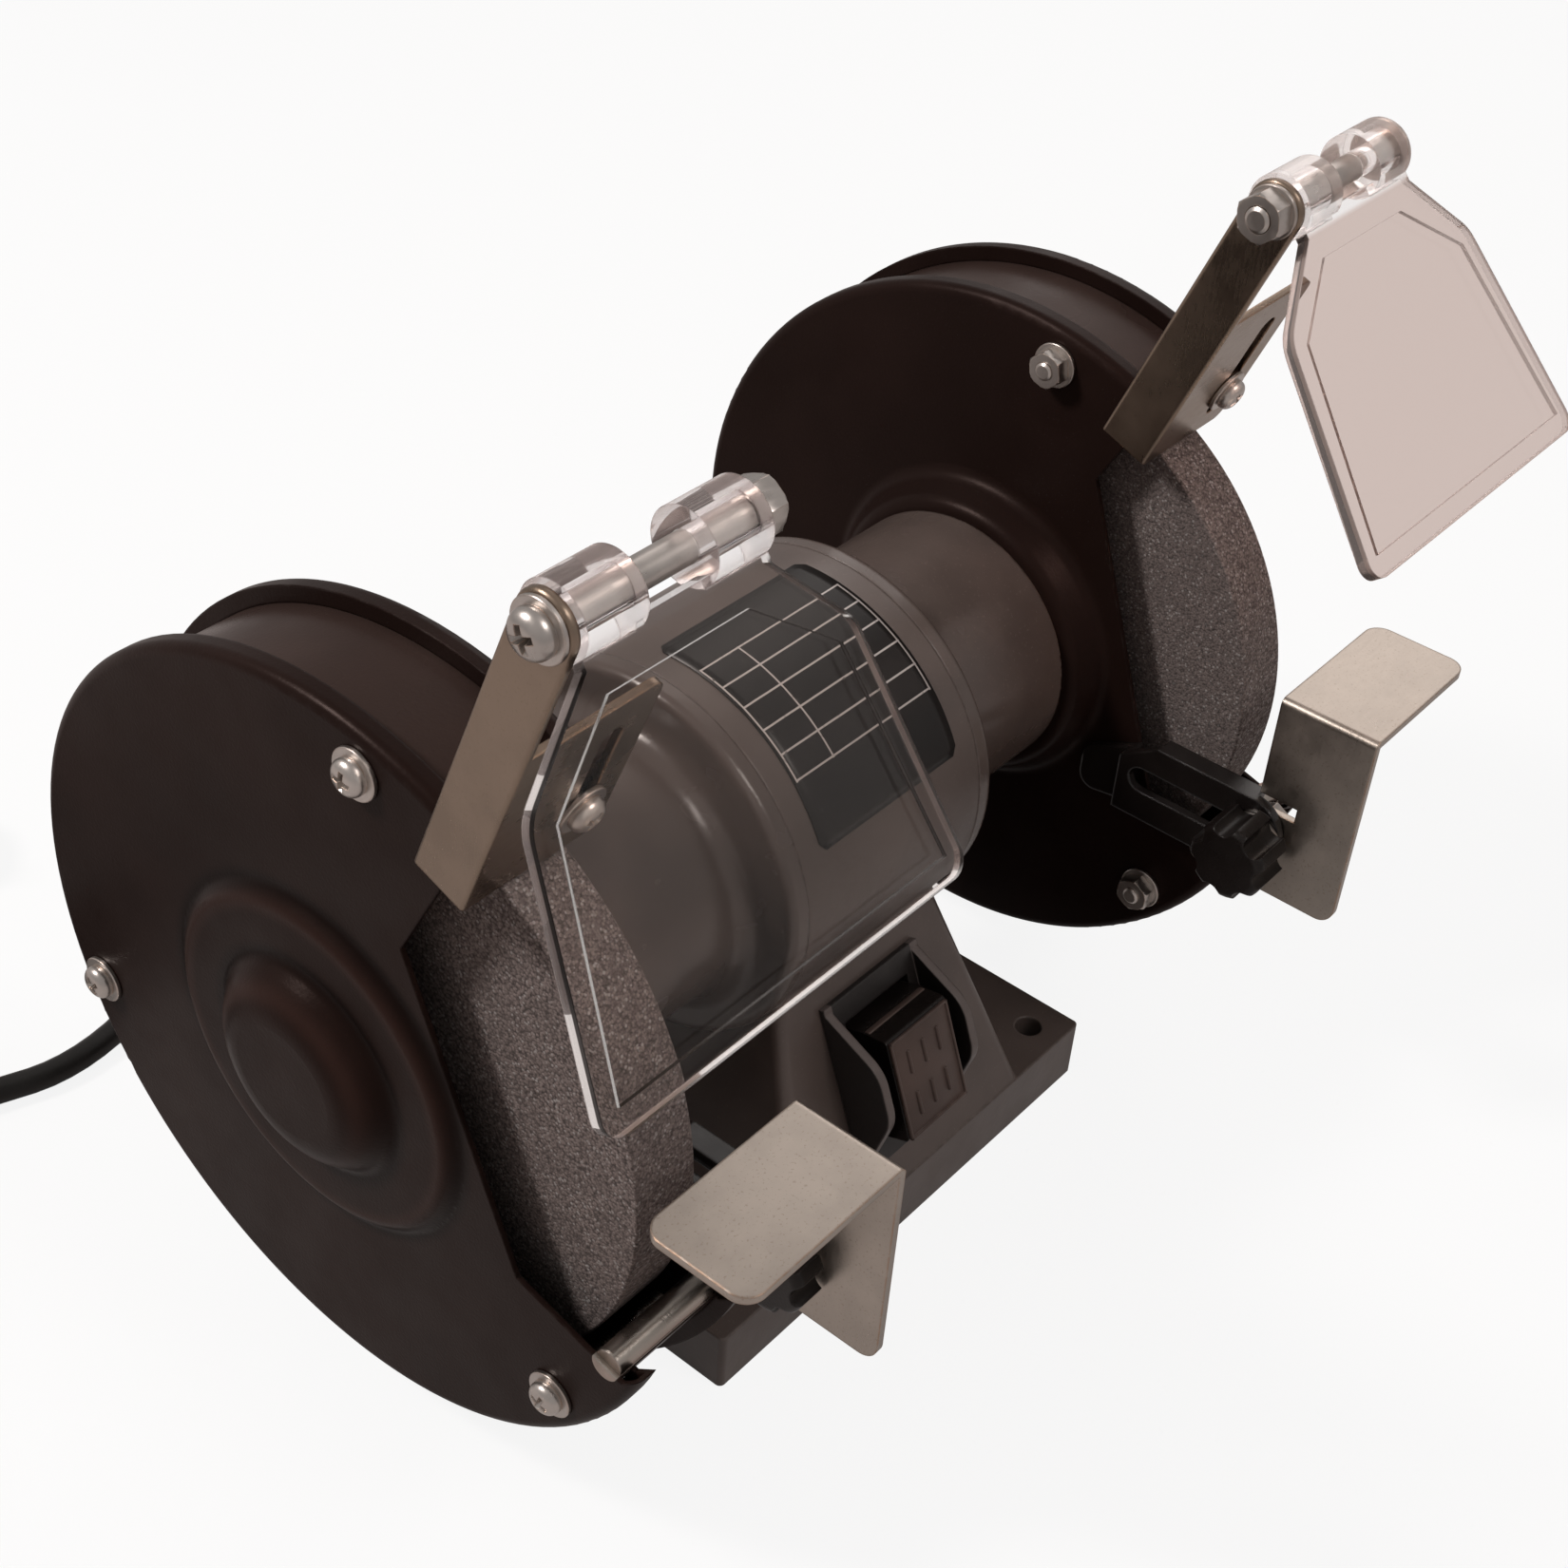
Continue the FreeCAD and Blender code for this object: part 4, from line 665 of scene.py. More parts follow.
@dataclass(frozen=True)
class PlatePrint(Finish):
    """Blank dark plate with a ruled table and no words."""

    name: str = "plate_print"
    ground: Colour = (0.010, 0.0085, 0.008)
    ink: Colour = (0.52, 0.48, 0.46)
    columns: tuple[float, ...] = (0.02, 0.27, 0.98)
    rows: tuple[float, ...] = (0.20, 0.305, 0.41, 0.515, 0.62, 0.725)
    width: float = 0.0055

    def span(self, along: Signal, places: tuple[float, ...]) -> Signal:
        """1 from the first to the last of a set of lines."""
        first, last = places[0] - self.width, places[-1] + self.width
        return along.rise(first, first + 0.002) & (1 - along.rise(last, last + 0.002))

    def mix(self, recipe: Recipe) -> Material:
        """Ruled lines at the columns and rows, over a satin dark field.

        Args:
            recipe: the new material's tree.

        Returns:
            The material.
        """
        across, down, _ = recipe.axes(recipe.node("ShaderNodeTexCoord", out="UV"))
        inside_x, inside_y = self.span(across, self.columns), self.span(down, self.rows)
        strokes = [(1 - abs(across - place).rise(self.width * 0.7, self.width)) & inside_y
                   for place in self.columns]
        strokes += [(1 - abs(down - place).rise(self.width * 0.55, self.width * 0.8)) & inside_x
                    for place in self.rows]
        lines = functools.reduce(operator.or_, strokes)
        worn = recipe.noise(700, 3).rise(0.15, 0.4)
        colour = recipe.blend(recipe.noise(60, 2).rise(0.3, 0.7), self.ground,
                              scaled(self.ground, 1.35))
        colour = recipe.blend(lines * worn, colour, self.ink)
        rough = lines.rise(0.0, 1.0, 0.36, 0.5)
        normal = recipe.bump(lines, 0.2, 0.00005)
        return recipe.coat(Base_Color=colour, Roughness=rough, Normal=normal,
                           Specular_IOR_Level=0.3)


PAINT = CastPaint()
BELL = CastPaint(name="bell_paint", roughness=0.22)
GUARD = GuardPaint()
# Lighter copy of the guards' coat for the bands: painted light where their tops catch the lamps.
LIT_BAND = GuardPaint(name="band_paint", colour=(0.034, 0.022, 0.019), roughness=0.30)
SHEET_ZINC = Zinc()
BRACKET_ZINC = Zinc(name="zinc_bracket", colour=(0.29, 0.225, 0.175), roughness=0.30)
BRIGHT_ZINC = Zinc(name="zinc_fastener", colour=(0.56, 0.52, 0.49), roughness=0.33, edge=0.0003,
                   speckle=0.08)
GRIT = Abrasive()
# The far shield's copy of the clear plastic is darker and warmer with paler edges: painted shade on
# its body, painted light on its edges.
CLEAR = {Side.LEFT: ClearPanel(),
         Side.RIGHT: ClearPanel(name="clear_panel_far", tilt=40.0, tint=(0.64, 0.53, 0.49),
                                rim=(0.95, 0.86, 0.83), step_tint=(0.64, 0.53, 0.49))}
PLASTIC = Moulded()
GLOSS_STEEL = Moulded(name="arm_gloss_black", colour=(0.008, 0.0064, 0.006), roughness=0.18,
                      relief=0.04, edge=0.0009, shine=0.5)
RUBBER = Moulded(name="cord_rubber", colour=(0.011, 0.0105, 0.010), roughness=0.40, grain=900.0)
ROCKER = Moulded(name="rocker_grey", colour=(0.074, 0.052, 0.045), roughness=0.36, edge=0.0004)
SWITCH = SwitchMoulding()
STEEL = BareMetal()
STACK = BareMetal(name="lamination_stack", colour=(0.20, 0.20, 0.20), roughness=0.45, pitch=1000.0)
COPPER = BareMetal(name="copper_winding", colour=(0.60, 0.25, 0.12), roughness=0.34, pitch=700.0)
CAN = BareMetal(name="capacitor_can", colour=(0.62, 0.62, 0.62), roughness=0.3, pitch=120.0)
PRINT = PlatePrint()


def dress(finish: Finish, *names: str) -> None:
    """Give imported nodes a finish.

    Args:
        finish: the finish.
        names: the nodes.
    """
    for name in names:
        for slot in frame["nodes"][name].material_slots:
            slot.material = finish.material()
        log.info("node %s in %s", name, finish.name)


def new_object(name: str, data: Any) -> bpy.types.Object:
    """Put new data in the scene.

    Args:
        name: the object's name.
        data: its mesh, curve, camera or light.

    Returns:
        The object.
    """
    item = bpy.data.objects.new(name, data)
    bpy.context.scene.collection.objects.link(item)
    return item


def add_piece(name: str, mesh: Union[bpy.types.Mesh, bpy.types.Curve], finish: Finish, body: str,
              replaces: Iterable[str] = ()) -> bpy.types.Object:
    """Put a new piece on a body.

    Args:
        name: the piece's name.
        mesh: its geometry in the model's frame.
        finish: its finish.
        body: the body it moves with.
        replaces: nodes that it stands for.

    Returns:
        The new object.
    """
    piece = new_object(name, mesh)
    mesh.materials.append(finish.material())
    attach(piece, body)
    nodes = tuple(replaces)
    if nodes:
        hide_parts(*nodes)
    log.info("piece %s on %s", name, body)
    return piece


def raw_mesh(bm: Shape, name: str) -> bpy.types.Mesh:
    """Turn a shape into a mesh as it is.

    Args:
        bm: the shape, freed here.
        name: the mesh's name.

    Returns:
        The mesh.
    """
    mesh = bpy.data.meshes.new(name)
    bm.to_mesh(mesh)
    bm.free()
    return mesh


def to_mesh(bm: Shape, name: str, angle: float = 32.0) -> bpy.types.Mesh:
    """Close a bmesh into a smooth-shaded mesh.

    Args:
        bm: the geometry, freed here.
        name: the mesh's name.
        angle: edges sharper than this many degrees stay sharp.

    Returns:
        The mesh.
    """
    bmesh.ops.recalc_face_normals(bm, faces=bm.faces[:])
    mesh = raw_mesh(bm, name)
    mesh.shade_smooth()
    mesh.set_sharp_from_angle(angle=math.radians(angle))
    return mesh


def lathe(profile: Sequence[tuple[float, float]], segments: int = 40) -> Shape:
    """Turn a profile about Z.

    Args:
        profile: points (radius, height) in millimetres.
        segments: how many steps there are in a turn.

    Returns:
        The turned shape, in metres.
    """
    bm = bmesh.new()
    line = [bm.verts.new(mm(radius, 0, height)) for radius, height in profile]
    edges = [bm.edges.new(pair) for pair in zip(line, line[1:])]
    bmesh.ops.spin(bm, geom=line + edges, cent=(0, 0, 0), axis=(0, 0, 1), angle=2 * math.pi,
                   steps=segments, use_merge=True)
    bmesh.ops.remove_doubles(bm, verts=bm.verts[:], dist=1e-6)
    return bm


def bar(size: Point, middle: Point, bevel: float, segments: int = 2) -> Shape:
    """Block with rounded edges, in millimetres.

    Args:
        size: its three sides.
        middle: its centre.
        bevel: radius of its edges.
        segments: steps round an edge.

    Returns:
        The block, in metres.
    """
    bm = bmesh.new()
    bmesh.ops.create_cube(bm, size=1.0, matrix=Matrix.Translation(mm(*middle)) @ Matrix.Diagonal(
        (*mm(*size), 1.0)))
    bmesh.ops.bevel(bm, geom=bm.edges[:], offset=bevel * MM, segments=segments, profile=0.5,
                    affect="EDGES", clamp_overlap=True)
    return bm


def join(target: Shape, part: Shape, *spots: Matrix) -> None:
    """Add copies of a part to a shape.

    Args:
        target: the shape that grows.
        part: the part, freed here.
        spots: where its copies go.
    """
    mesh = raw_mesh(part, "part")
    for spot in spots or (Matrix.Identity(4),):
        copy = mesh.copy()
        copy.transform(spot)
        if spot.determinant() < 0:
            copy.flip_normals()
        target.from_mesh(copy)
        bpy.data.meshes.remove(copy)
    bpy.data.meshes.remove(mesh)


def carve(part: Shape, cutter: Shape) -> Shape:
    """Cut one shape out of another.

    Args:
        part: the shape to cut, freed here.
        cutter: the shape to remove, freed here.

    Returns:
        What is left.
    """
    items = [new_object("carve", raw_mesh(bm, "carve")) for bm in (part, cutter)]
    tool = items[0].modifiers.new("cut", "BOOLEAN")
    tool.operation = "DIFFERENCE"
    tool.object = items[1]
    tool.solver = "EXACT"
    graph = bpy.context.evaluated_depsgraph_get()
    left = bpy.data.meshes.new_from_object(items[0].evaluated_get(graph))
    result = bmesh.new()
    result.from_mesh(left)
    bpy.data.meshes.remove(left)
    for item in items:
        mesh = item.data
        bpy.data.objects.remove(item)
        bpy.data.meshes.remove(mesh)
    return result


def aimed(spot: Vector, axis: Point, spin: float = 0.0) -> Matrix:
    """Matrix that takes Z to an axis at a spot, turned by a spin in degrees."""
    turn = Vector(axis).to_track_quat("Z", "Y").to_matrix().to_4x4()
    return Matrix.Translation(spot) @ turn @ Matrix.Rotation(math.radians(spin), 4, "Z")


@dataclass
class Studio:
    """Camera, floor, lights and background."""

    eye: Point = (-336.9, -270.4, 441.6)
    azimuth: float = -52.674
    elevation: float = 38.187
    roll: float = 4.408
    lens: float = 54.57
    sensor: float = 36.0
    ambient: float = 0.26
    warmth: Colour = (1.0, 0.93, 0.895)
    bounce: Colour = (0.34, 0.27, 0.245)
    mirrored: float = 0.25
    floor_size: float = 6.0
    floor_drop: float = 0.0002
    floor_tone: float = 0.88
    floor_glow: float = 0.88
    aim: Point = (0.0, 0.0, 0.1)
    lamps: tuple[tuple[str, Point, float, float], ...] = (
        ("key", (-0.80, 0.70, 1.15), 0.25, 14.0),
        ("back", (1.0, 0.35, 0.85), 0.8, 2.4),
        ("fill", (0.2, -1.0, 1.3), 0.45, 6.0),
    )

    def build(self) -> None:
        """Set up the view and the light."""
        self.camera()
        self.floor()
        self.background()
        for setting in self.lamps:
            self.lamp(*setting)
        bpy.context.scene.view_settings.view_transform = "Standard"

    def camera(self) -> None:
        """Camera at the picture's angle."""
        turns = ((self.azimuth, "Z"), (90.0 - self.elevation, "X"), (self.roll, "Z"))
        data = bpy.data.cameras.new("camera")
        data.lens = self.lens
        data.sensor_width = self.sensor
        data.clip_start = 0.01
        item = new_object("camera", data)
        item.matrix_world = functools.reduce(
            operator.matmul, (Matrix.Rotation(math.radians(turn), 4, axis) for turn, axis in turns),
            Matrix.Translation(mm(*self.eye)))
        bpy.context.scene.camera = item

    def seen(self, recipe: Recipe) -> Signal:
        """Say which rays see the white background.

        Args:
            recipe: the tree to write in.

        Returns:
            The share of it that a ray sees: none once it has lit a matt surface.
        """
        outputs = recipe.node("ShaderNodeLightPath").socket.node.outputs
        camera, mirror, clear, depth = (Signal(recipe, outputs[name]) for name in (
            "Is Camera Ray", "Is Glossy Ray", "Is Transmission Ray", "Diffuse Depth"))
        return (camera | clear | mirror * self.mirrored) * (1 - (depth & 1.0))

    def floor(self) -> None:
        """Pale floor that keeps the shadow."""
        bm = bmesh.new()
        bmesh.ops.create_grid(bm, x_segments=1, y_segments=1, size=self.floor_size)
        mesh = raw_mesh(bm, "floor")
        item = new_object("floor", mesh)
        item.location.z = -self.floor_drop
        recipe = Recipe(bpy.data.materials.new("floor_white"))
        tone = recipe.blend(self.seen(recipe), self.bounce, grey(self.floor_tone))
        matt = recipe.node("ShaderNodeBsdfDiffuse", {}, {"Color": tone})
        glow = recipe.node("ShaderNodeEmission", {}, {"Color": grey(1.0), "Strength": 1.0})
        shader = recipe.mixed(self.seen(recipe) * self.floor_glow, matt, glow)
        mesh.materials.append(recipe.finish(shader))

    def background(self) -> None:
        """White behind the object, plain soft light on it."""
        world = bpy.data.worlds.new("studio")
        bpy.context.scene.world = world
        recipe = Recipe(world, "ShaderNodeOutputWorld")
        strength = self.seen(recipe) * (1.0 - self.ambient) + self.ambient
        tone = recipe.blend(self.seen(recipe), self.warmth, grey(1.0))
        shade = recipe.node("ShaderNodeBackground", {}, {"Color": tone, "Strength": strength})
        recipe.finish(shade)

    def lamp(self, name: str, spot: Point, size: float, power: float) -> None:
        """Soft square lamp aimed at the motor.

        Args:
            name: the lamp's name.
            spot: where it stands, in metres.
            size: length of its side.
            power: its power in watts.
        """
        data = bpy.data.lights.new(name, "AREA")
        data.size = size
        data.energy = power
        data.color = self.warmth
        aim = Vector(self.aim) - Vector(spot)
        turn = aim.to_track_quat("-Z", "Y").to_matrix().to_4x4()
        new_object(name, data).matrix_world = Matrix.Translation(Vector(spot)) @ turn


@dataclass
class MainsLead:
    """Cord from the strain relief over the floor to a tied coil and its plug."""

    radius: float = 3.3
    route: tuple[Point, ...] = (
        (20, 84, 8.2), (20, 88, 8.2), (20, 122, 7.4), (-10, 144, 4.6), (-52, 139.5, 3.45),
        (-104, 119.6, 3.45), (-136, 132, 3.75), (-166.5, 140, 4.6),
    )
    coil_inner: float = 28.0
    coil_pitch: float = 8.7
    coil_step: float = 7.3
    lead_in: float = 6.6
    tail: float = 22.0
    half_turns: int = 5
    per_turn: int = 16
    length: float = 1.56
    sleeve_at: Point = (20, 62, 8.2)
    sleeve_collar: tuple[tuple[float, float], ...] = (
        (0.0, -6.0), (5.9, -6.0), (5.9, 0.0), (6.6, 0.0), (7.0, 0.4), (7.0, 2.6), (6.6, 3.0),
        (5.9, 3.0),
    )
    sleeve_tip: tuple[tuple[float, float], ...] = ((3.9, 25.6), (3.5, 26.0), (0.0, 26.0))
    ribs: int = 6
    rib_start: float = 4.2
    rib_end: float = 25.0
    rib_radius: float = 5.8
    rib_taper: float = 1.5
    rib_groove: float = 0.9

    def build(self) -> None:
        """Make the cord and its strain relief, and dress tie and plug."""
        self.strain_relief()
        self.cord()
        dress(PLASTIC, "mains_plug", "cord_tie")

    def coil(self) -> list[Vector]:
        """Control points of the turns: inwards below, outwards above, then the straight tail."""
        last, before = Vector(self.route[-1]), Vector(self.route[-2])
        heading = (last - before) * Vector((1, 1, 0))
        heading.normalize()
        inward = Vector((heading.y, -heading.x, 0))
        outer = self.coil_inner + self.coil_pitch * self.half_turns / 2
        centre = last + heading * self.lead_in + inward * outer
        swell = 1 / (0.75 + 0.25 * math.cos(2 * math.pi / self.per_turn))
        half = self.per_turn // 2
        total = half * (2 * self.half_turns + 1)
        points = []
        for count in range(total + 1):
            wound = count / half
            depth = min(wound, self.half_turns, 2 * self.half_turns + 1 - wound)
            reach = outer - self.coil_pitch / 2 * depth
            climb = min(max(wound - self.half_turns, 0.0), 1.0)
            angle = math.pi * wound
            spoke = heading * math.sin(angle) - inward * math.cos(angle)
            points.append(centre + spoke * (reach * swell) + Vector((0, 0, self.coil_step * climb)))
        end = centre + inward * outer + Vector((0, 0, self.coil_step))
        points.append(end - heading * self.tail * 0.6)
        points.append(end - heading * (self.tail + 5.0))
        return points

    def cord(self) -> None:
        """One smooth spline from the strain relief to the plug."""
        points = [Vector(spot) for spot in self.route] + self.coil()
        curve = bpy.data.curves.new("mains_lead", "CURVE")
        curve.dimensions = "3D"
        curve.bevel_depth = self.radius * MM
        curve.bevel_resolution = 5
        curve.resolution_u = 8
        spline = curve.splines.new("NURBS")
        spline.points.add(len(points) - 1)
        for item, spot in zip(spline.points, points):
            item.co = (*(spot * MM), 1.0)
        spline.order_u = 3
        spline.use_endpoint_u = True
        piece = add_piece("mains_lead", curve, RUBBER, "frame",
                          ("mains_cord", "cord_coil"))

    def strain_relief(self) -> None:
        """Tapered sleeve with ribs, in the place of its plain solid."""
        profile = list(self.sleeve_collar)
        pitch = (self.rib_end - self.rib_start) / self.ribs
        for index in range(self.ribs):
            base = self.rib_start + pitch * index
            thick = self.rib_radius - self.rib_taper * index / (self.ribs - 1)
            deep = thick - self.rib_groove
            profile += [(deep, base - 0.6), (deep, base), (thick, base + 0.5),
                        (thick, base + pitch - 1.4), (thick - 0.4, base + pitch - 0.9)]
        bm = bmesh.new()
        join(bm, lathe(profile + list(self.sleeve_tip), 36), aimed(mm(*self.sleeve_at), (0, 1, 0)))
        add_piece("strain_relief", to_mesh(bm, "strain_relief"), RUBBER, "frame",
                  ("cord_gland",))


def pan_head(radius: float, height: float) -> Shape:
    """Domed head with a cross recess, its underside at the origin.

    Args:
        radius: the head's radius in millimetres.
        height: its height.

    Returns:
        The head, in metres.
    """
    dome = [(0.0, 0.0), (radius * 0.96, 0.0), (radius, height * 0.10), (radius, height * 0.30)]
    for step in range(1, 9):
        angle = math.pi / 2 * step / 8
        dome.append((radius * (0.30 + 0.70 * math.cos(angle)),
                     height * (0.30 + 0.70 * math.sin(angle))))
    dome.append((0.0, height))
    head = lathe(dome, 48)
    for turn in (0, 90):
        wing = bmesh.new()
        bmesh.ops.create_cone(wing, cap_ends=True, segments=4, radius1=0.28 * radius * MM,
                              radius2=0.92 * radius * MM, depth=height * 0.78 * MM)
        wing.transform(Matrix.Rotation(math.pi / 4, 4, "Z"))
        wing.transform(Matrix.Diagonal((1.0, 0.26, 1.0, 1.0)))
        wing.transform(Matrix.Rotation(math.radians(turn), 4, "Z"))
        wing.transform(Matrix.Translation(mm(0, 0, height * 0.72)))
        head = carve(head, wing)
    return head


def washer(radius: float, gauge: float, bore: float) -> Shape:
    """Flat washer with broken edges, its underside at the origin.

    Args:
        radius: its outer radius in millimetres.
        gauge: its thickness.
        bore: radius of its hole.

    Returns:
        The washer, in metres.
    """
    soft = 0.18
    return lathe([(bore, 0.0), (radius - soft, 0.0), (radius, soft), (radius, gauge - soft),
                  (radius - soft, gauge), (bore, gauge), (bore, 0.0)], 44)


def nut(radius: float, length: float, bore: float) -> Shape:
    """Hexagon nut with chamfered corners and a bore.

    Args:
        radius: distance to a corner in millimetres.
        length: the nut's height.
        bore: radius of its hole.

    Returns:
        The nut, in metres, its underside at the origin.
    """
    bm = bmesh.new()
    steps, sixth = 24, math.pi / 3
    turns = [2 * math.pi * index / steps for index in range(steps)]
    flats = [math.cos(sixth / 2) / math.cos((turn + sixth / 2) % sixth - sixth / 2)
             for turn in turns]
    outlines = [(height, [radius * min(flat, share) for flat in flats]) for height, share in (
        (0.0, 0.90), (length * 0.10, 1.0), (length * 0.90, 1.0), (length, 0.90))]
    outlines += [(height, [bore] * steps) for height in (length, 0.0)]
    rings = [[bm.verts.new(mm(reach * math.cos(turn), reach * math.sin(turn), height))
              for turn, reach in zip(turns, reaches)] for height, reaches in outlines]
    for first, second in zip(rings, rings[1:] + rings[:1]):
        for index in range(steps):
            after = (index + 1) % steps
            bm.faces.new((first[index], first[after], second[after], second[index]))
    return bm


def thread(radius: float, length: float, pitch: float = 0.7) -> Shape:
    """Threaded shank with a chamfered tip.

    Args:
        radius: its radius in millimetres.
        length: its length from the origin upwards.
        pitch: height of a turn.

    Returns:
        The shank, in metres.
    """
    profile = [(0.0, 0.0), (radius, 0.0)]
    turns = max(1, int(length / pitch) - 1)
    for index in range(turns):
        profile += [(radius, pitch * (index + 0.25)), (radius * 0.88, pitch * (index + 0.6)),
                    (radius, pitch * (index + 0.95))]
    profile += [(radius, length - pitch * 0.6), (radius * 0.74, length), (0.0, length)]
    return lathe(profile, 28)


@dataclass
class Fasteners:
    """Cross-head screws, washers and nuts of guards, spark plates and shields."""

    head_radius: float = 3.9
    head_height: float = 2.9
    washer_radius: float = 5.5
    washer_gauge: float = 1.1
    shank: float = 2.2
    guard_reach: float = 80.5
    guard_angles: tuple[float, ...] = (80.0, 200.0, 320.0)
    shaft_height: float = 102.0
    inner_face: float = 90.7
    outer_face: float = 123.9
    nut_radius: float = 4.7
    nut_length: float = 3.8
    washer_fit: float = 0.15
    nut_fit: float = 0.04
    shank_start: float = 0.4
    shank_spare: float = 0.8
    clamp_across: tuple[tuple[Side, float], ...] = ((Side.LEFT, -102.3), (Side.RIGHT, 112.3))
    clamp_up: float = 13.5
    clamp_foot: tuple[float, float] = (-41.9, 167.1)
    clamp_lift: float = 0.05
    clamp_grip: float = 3.62
    clamp_length: float = 8.8
    pivot_head: float = 4.6
    pivot_head_height: float = 3.6
    pivot_washer: float = 6.0
    pivot_nut: float = 5.7
    pivot_nut_length: float = 5.0
    pivot_radius: float = 3.0
    pivot_grip: float = 45.9
    pivot: tuple[float, float] = (-61.455, 236.180)
    strip: dict[Side, float] = field(default_factory=lambda: {Side.LEFT: -125.9, Side.RIGHT: 88.7})
    lean: float = 21.0

    def build(self) -> None:
        """Make every visible fastener."""
        self.guard_screws()
        self.guard_nuts()
        self.bracket_screws()
        for side in Side:
            self.shield_bolt(side)

    def guard_spots(self, way: int, face: float) -> Iterator[tuple[Side, int, Vector, Point]]:
        """Walk over the screws of both guards.

        Args:
            way: 1 for directions away from the motor, -1 for those towards it.
            face: distance of a cover's face from the middle, in millimetres.

        Yields:
            Side, number, place on the face and direction of each screw.
        """
        for side in Side:
            for index, angle in enumerate(math.radians(a) for a in self.guard_angles):
                along = -self.guard_reach * math.cos(angle)
                up = self.shaft_height + self.guard_reach * math.sin(angle)
                yield side, index, mm(face * side.sign, along, up), (way * side.sign, 0, 0)

    def small_washer(self) -> Shape:
        """Washer of a guard or bracket screw."""
        return washer(self.washer_radius, self.washer_gauge, self.shank + self.washer_fit)

    def small_nut(self) -> Shape:
        """Nut of a guard or bracket screw."""
        return nut(self.nut_radius, self.nut_length, self.shank + self.nut_fit)

    @staticmethod
    def plated(name: str, node: str, *lots: tuple[Shape, Sequence[Matrix]]) -> None:
        """Add a zinc-plated piece in the place of its plain node.

        Args:
            name: the piece's name.
            node: the node, whose body it rides on.
            lots: each of its parts, with the places of the part's copies.
        """
        bm = bmesh.new()
        for part, spots in lots:
            join(bm, part, *spots)
        body = frame["nodes"][node]["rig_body"]
        add_piece(name, to_mesh(bm, name), BRIGHT_ZINC, body, (node,))

    def guard_screws(self) -> None:
        """Heads and washers on the outer covers, shanks through to the nuts."""
        heads, washers, shanks = [], [], []
        start = self.outer_face + self.shank_start
        tip = self.inner_face - self.washer_gauge - self.nut_length - self.shank_spare
        for side, index, face, axis in self.guard_spots(1, self.outer_face):
            washers.append(aimed(face, axis))
            heads.append(aimed(face + Vector(axis) * self.washer_gauge * MM, axis,
                               17.0 + 40.0 * index + 25.0 * side.sign))
        for _, _, face, axis in self.guard_spots(-1, start):
            shanks.append(aimed(face, axis))
        self.plated("guard_screw_set", "guard_screws",
                    (pan_head(self.head_radius, self.head_height), heads),
                    (self.small_washer(), washers), (thread(self.shank, start - tip), shanks))

    def guard_nuts(self) -> None:
        """Nuts and washers on the inner covers."""
        nuts, washers = [], []
        for _, index, face, axis in self.guard_spots(-1, self.inner_face):
            washers.append(aimed(face, axis))
            nuts.append(aimed(face + Vector(axis) * self.washer_gauge * MM, axis,
                              11.0 + 23.0 * index))
        self.plated("guard_nut_set", "guard_nuts", (self.small_nut(), nuts),
                    (self.small_washer(), washers))

    def bracket_screws(self) -> None:
        """Screws that clamp the spark plates to the tabs of the bands."""
        a = math.radians(self.lean)
        ahead = Vector((0.0, -math.cos(a), -math.sin(a)))
        heads, washers, shanks, nuts = [], [], [], []
        for side, across in self.clamp_across:
            along = self.clamp_foot[0] - self.clamp_up * math.sin(a)
            up = self.clamp_foot[1] + self.clamp_up * math.cos(a)
            face = mm(across, along, up) + ahead * self.clamp_lift * MM
            washers.append(aimed(face, ahead))
            heads.append(aimed(face + ahead * self.washer_gauge * MM, ahead, 30.0 * side.sign))
            shanks.append(aimed(face + ahead * 0.5 * MM, -ahead))
            nuts.append(aimed(face - ahead * self.clamp_grip * MM, -ahead, 12.0))
        self.plated("bracket_screw_set", "bracket_screws",
                    (pan_head(self.head_radius, self.head_height), heads),
                    (self.small_washer(), washers),
                    (thread(self.shank, self.clamp_length), shanks), (self.small_nut(), nuts))

    def shield_bolt(self, side: Side) -> None:
        """Pivot bolt of an eye shield, its head outwards, with washers and nut.

        Args:
            side: which shield.
        """
        left, gauge = self.strip[side], self.washer_gauge
        right = left + self.pivot_grip
        head_at, nut_at, out = (left, right, -1) if side is Side.LEFT else (right, left, 1)

        def spot(across: float, way: int, spin: float = 0.0) -> list[Matrix]:
            """Place on the pivot's axis, looking out or in."""
            return [aimed(mm(across, *self.pivot), (way, 0, 0), spin)]

        grip = self.pivot_grip + gauge - self.shank_start
        shaft = lathe([(0.0, 0.0), (self.pivot_radius, 0.0), (self.pivot_radius, grip),
                       (0.0, grip)], 36)
        tail = thread(self.pivot_radius * 0.97, gauge + self.pivot_nut_length + 1.2, 0.9)
        bore = self.pivot_radius + self.nut_fit
        word = side.word
        self.plated(f"{word}_pivot_bolt", f"{word}_shield_bolt",
                    (pan_head(self.pivot_head, self.pivot_head_height),
                     spot(head_at + gauge * out, out, 21.0)),
                    (washer(self.pivot_washer, gauge, self.pivot_radius), spot(head_at, out)),
                    (shaft, spot(head_at + gauge * out, -out)),
                    (tail, spot(nut_at + self.shank_start * out, -out)))
        self.plated(f"{word}_pivot_nut", f"{word}_shield_nut",
                    (nut(self.pivot_nut, self.pivot_nut_length, bore),
                     spot(nut_at - gauge * out, -out, 8.0)),
                    (washer(self.pivot_washer, gauge, bore), spot(nut_at, -out)))


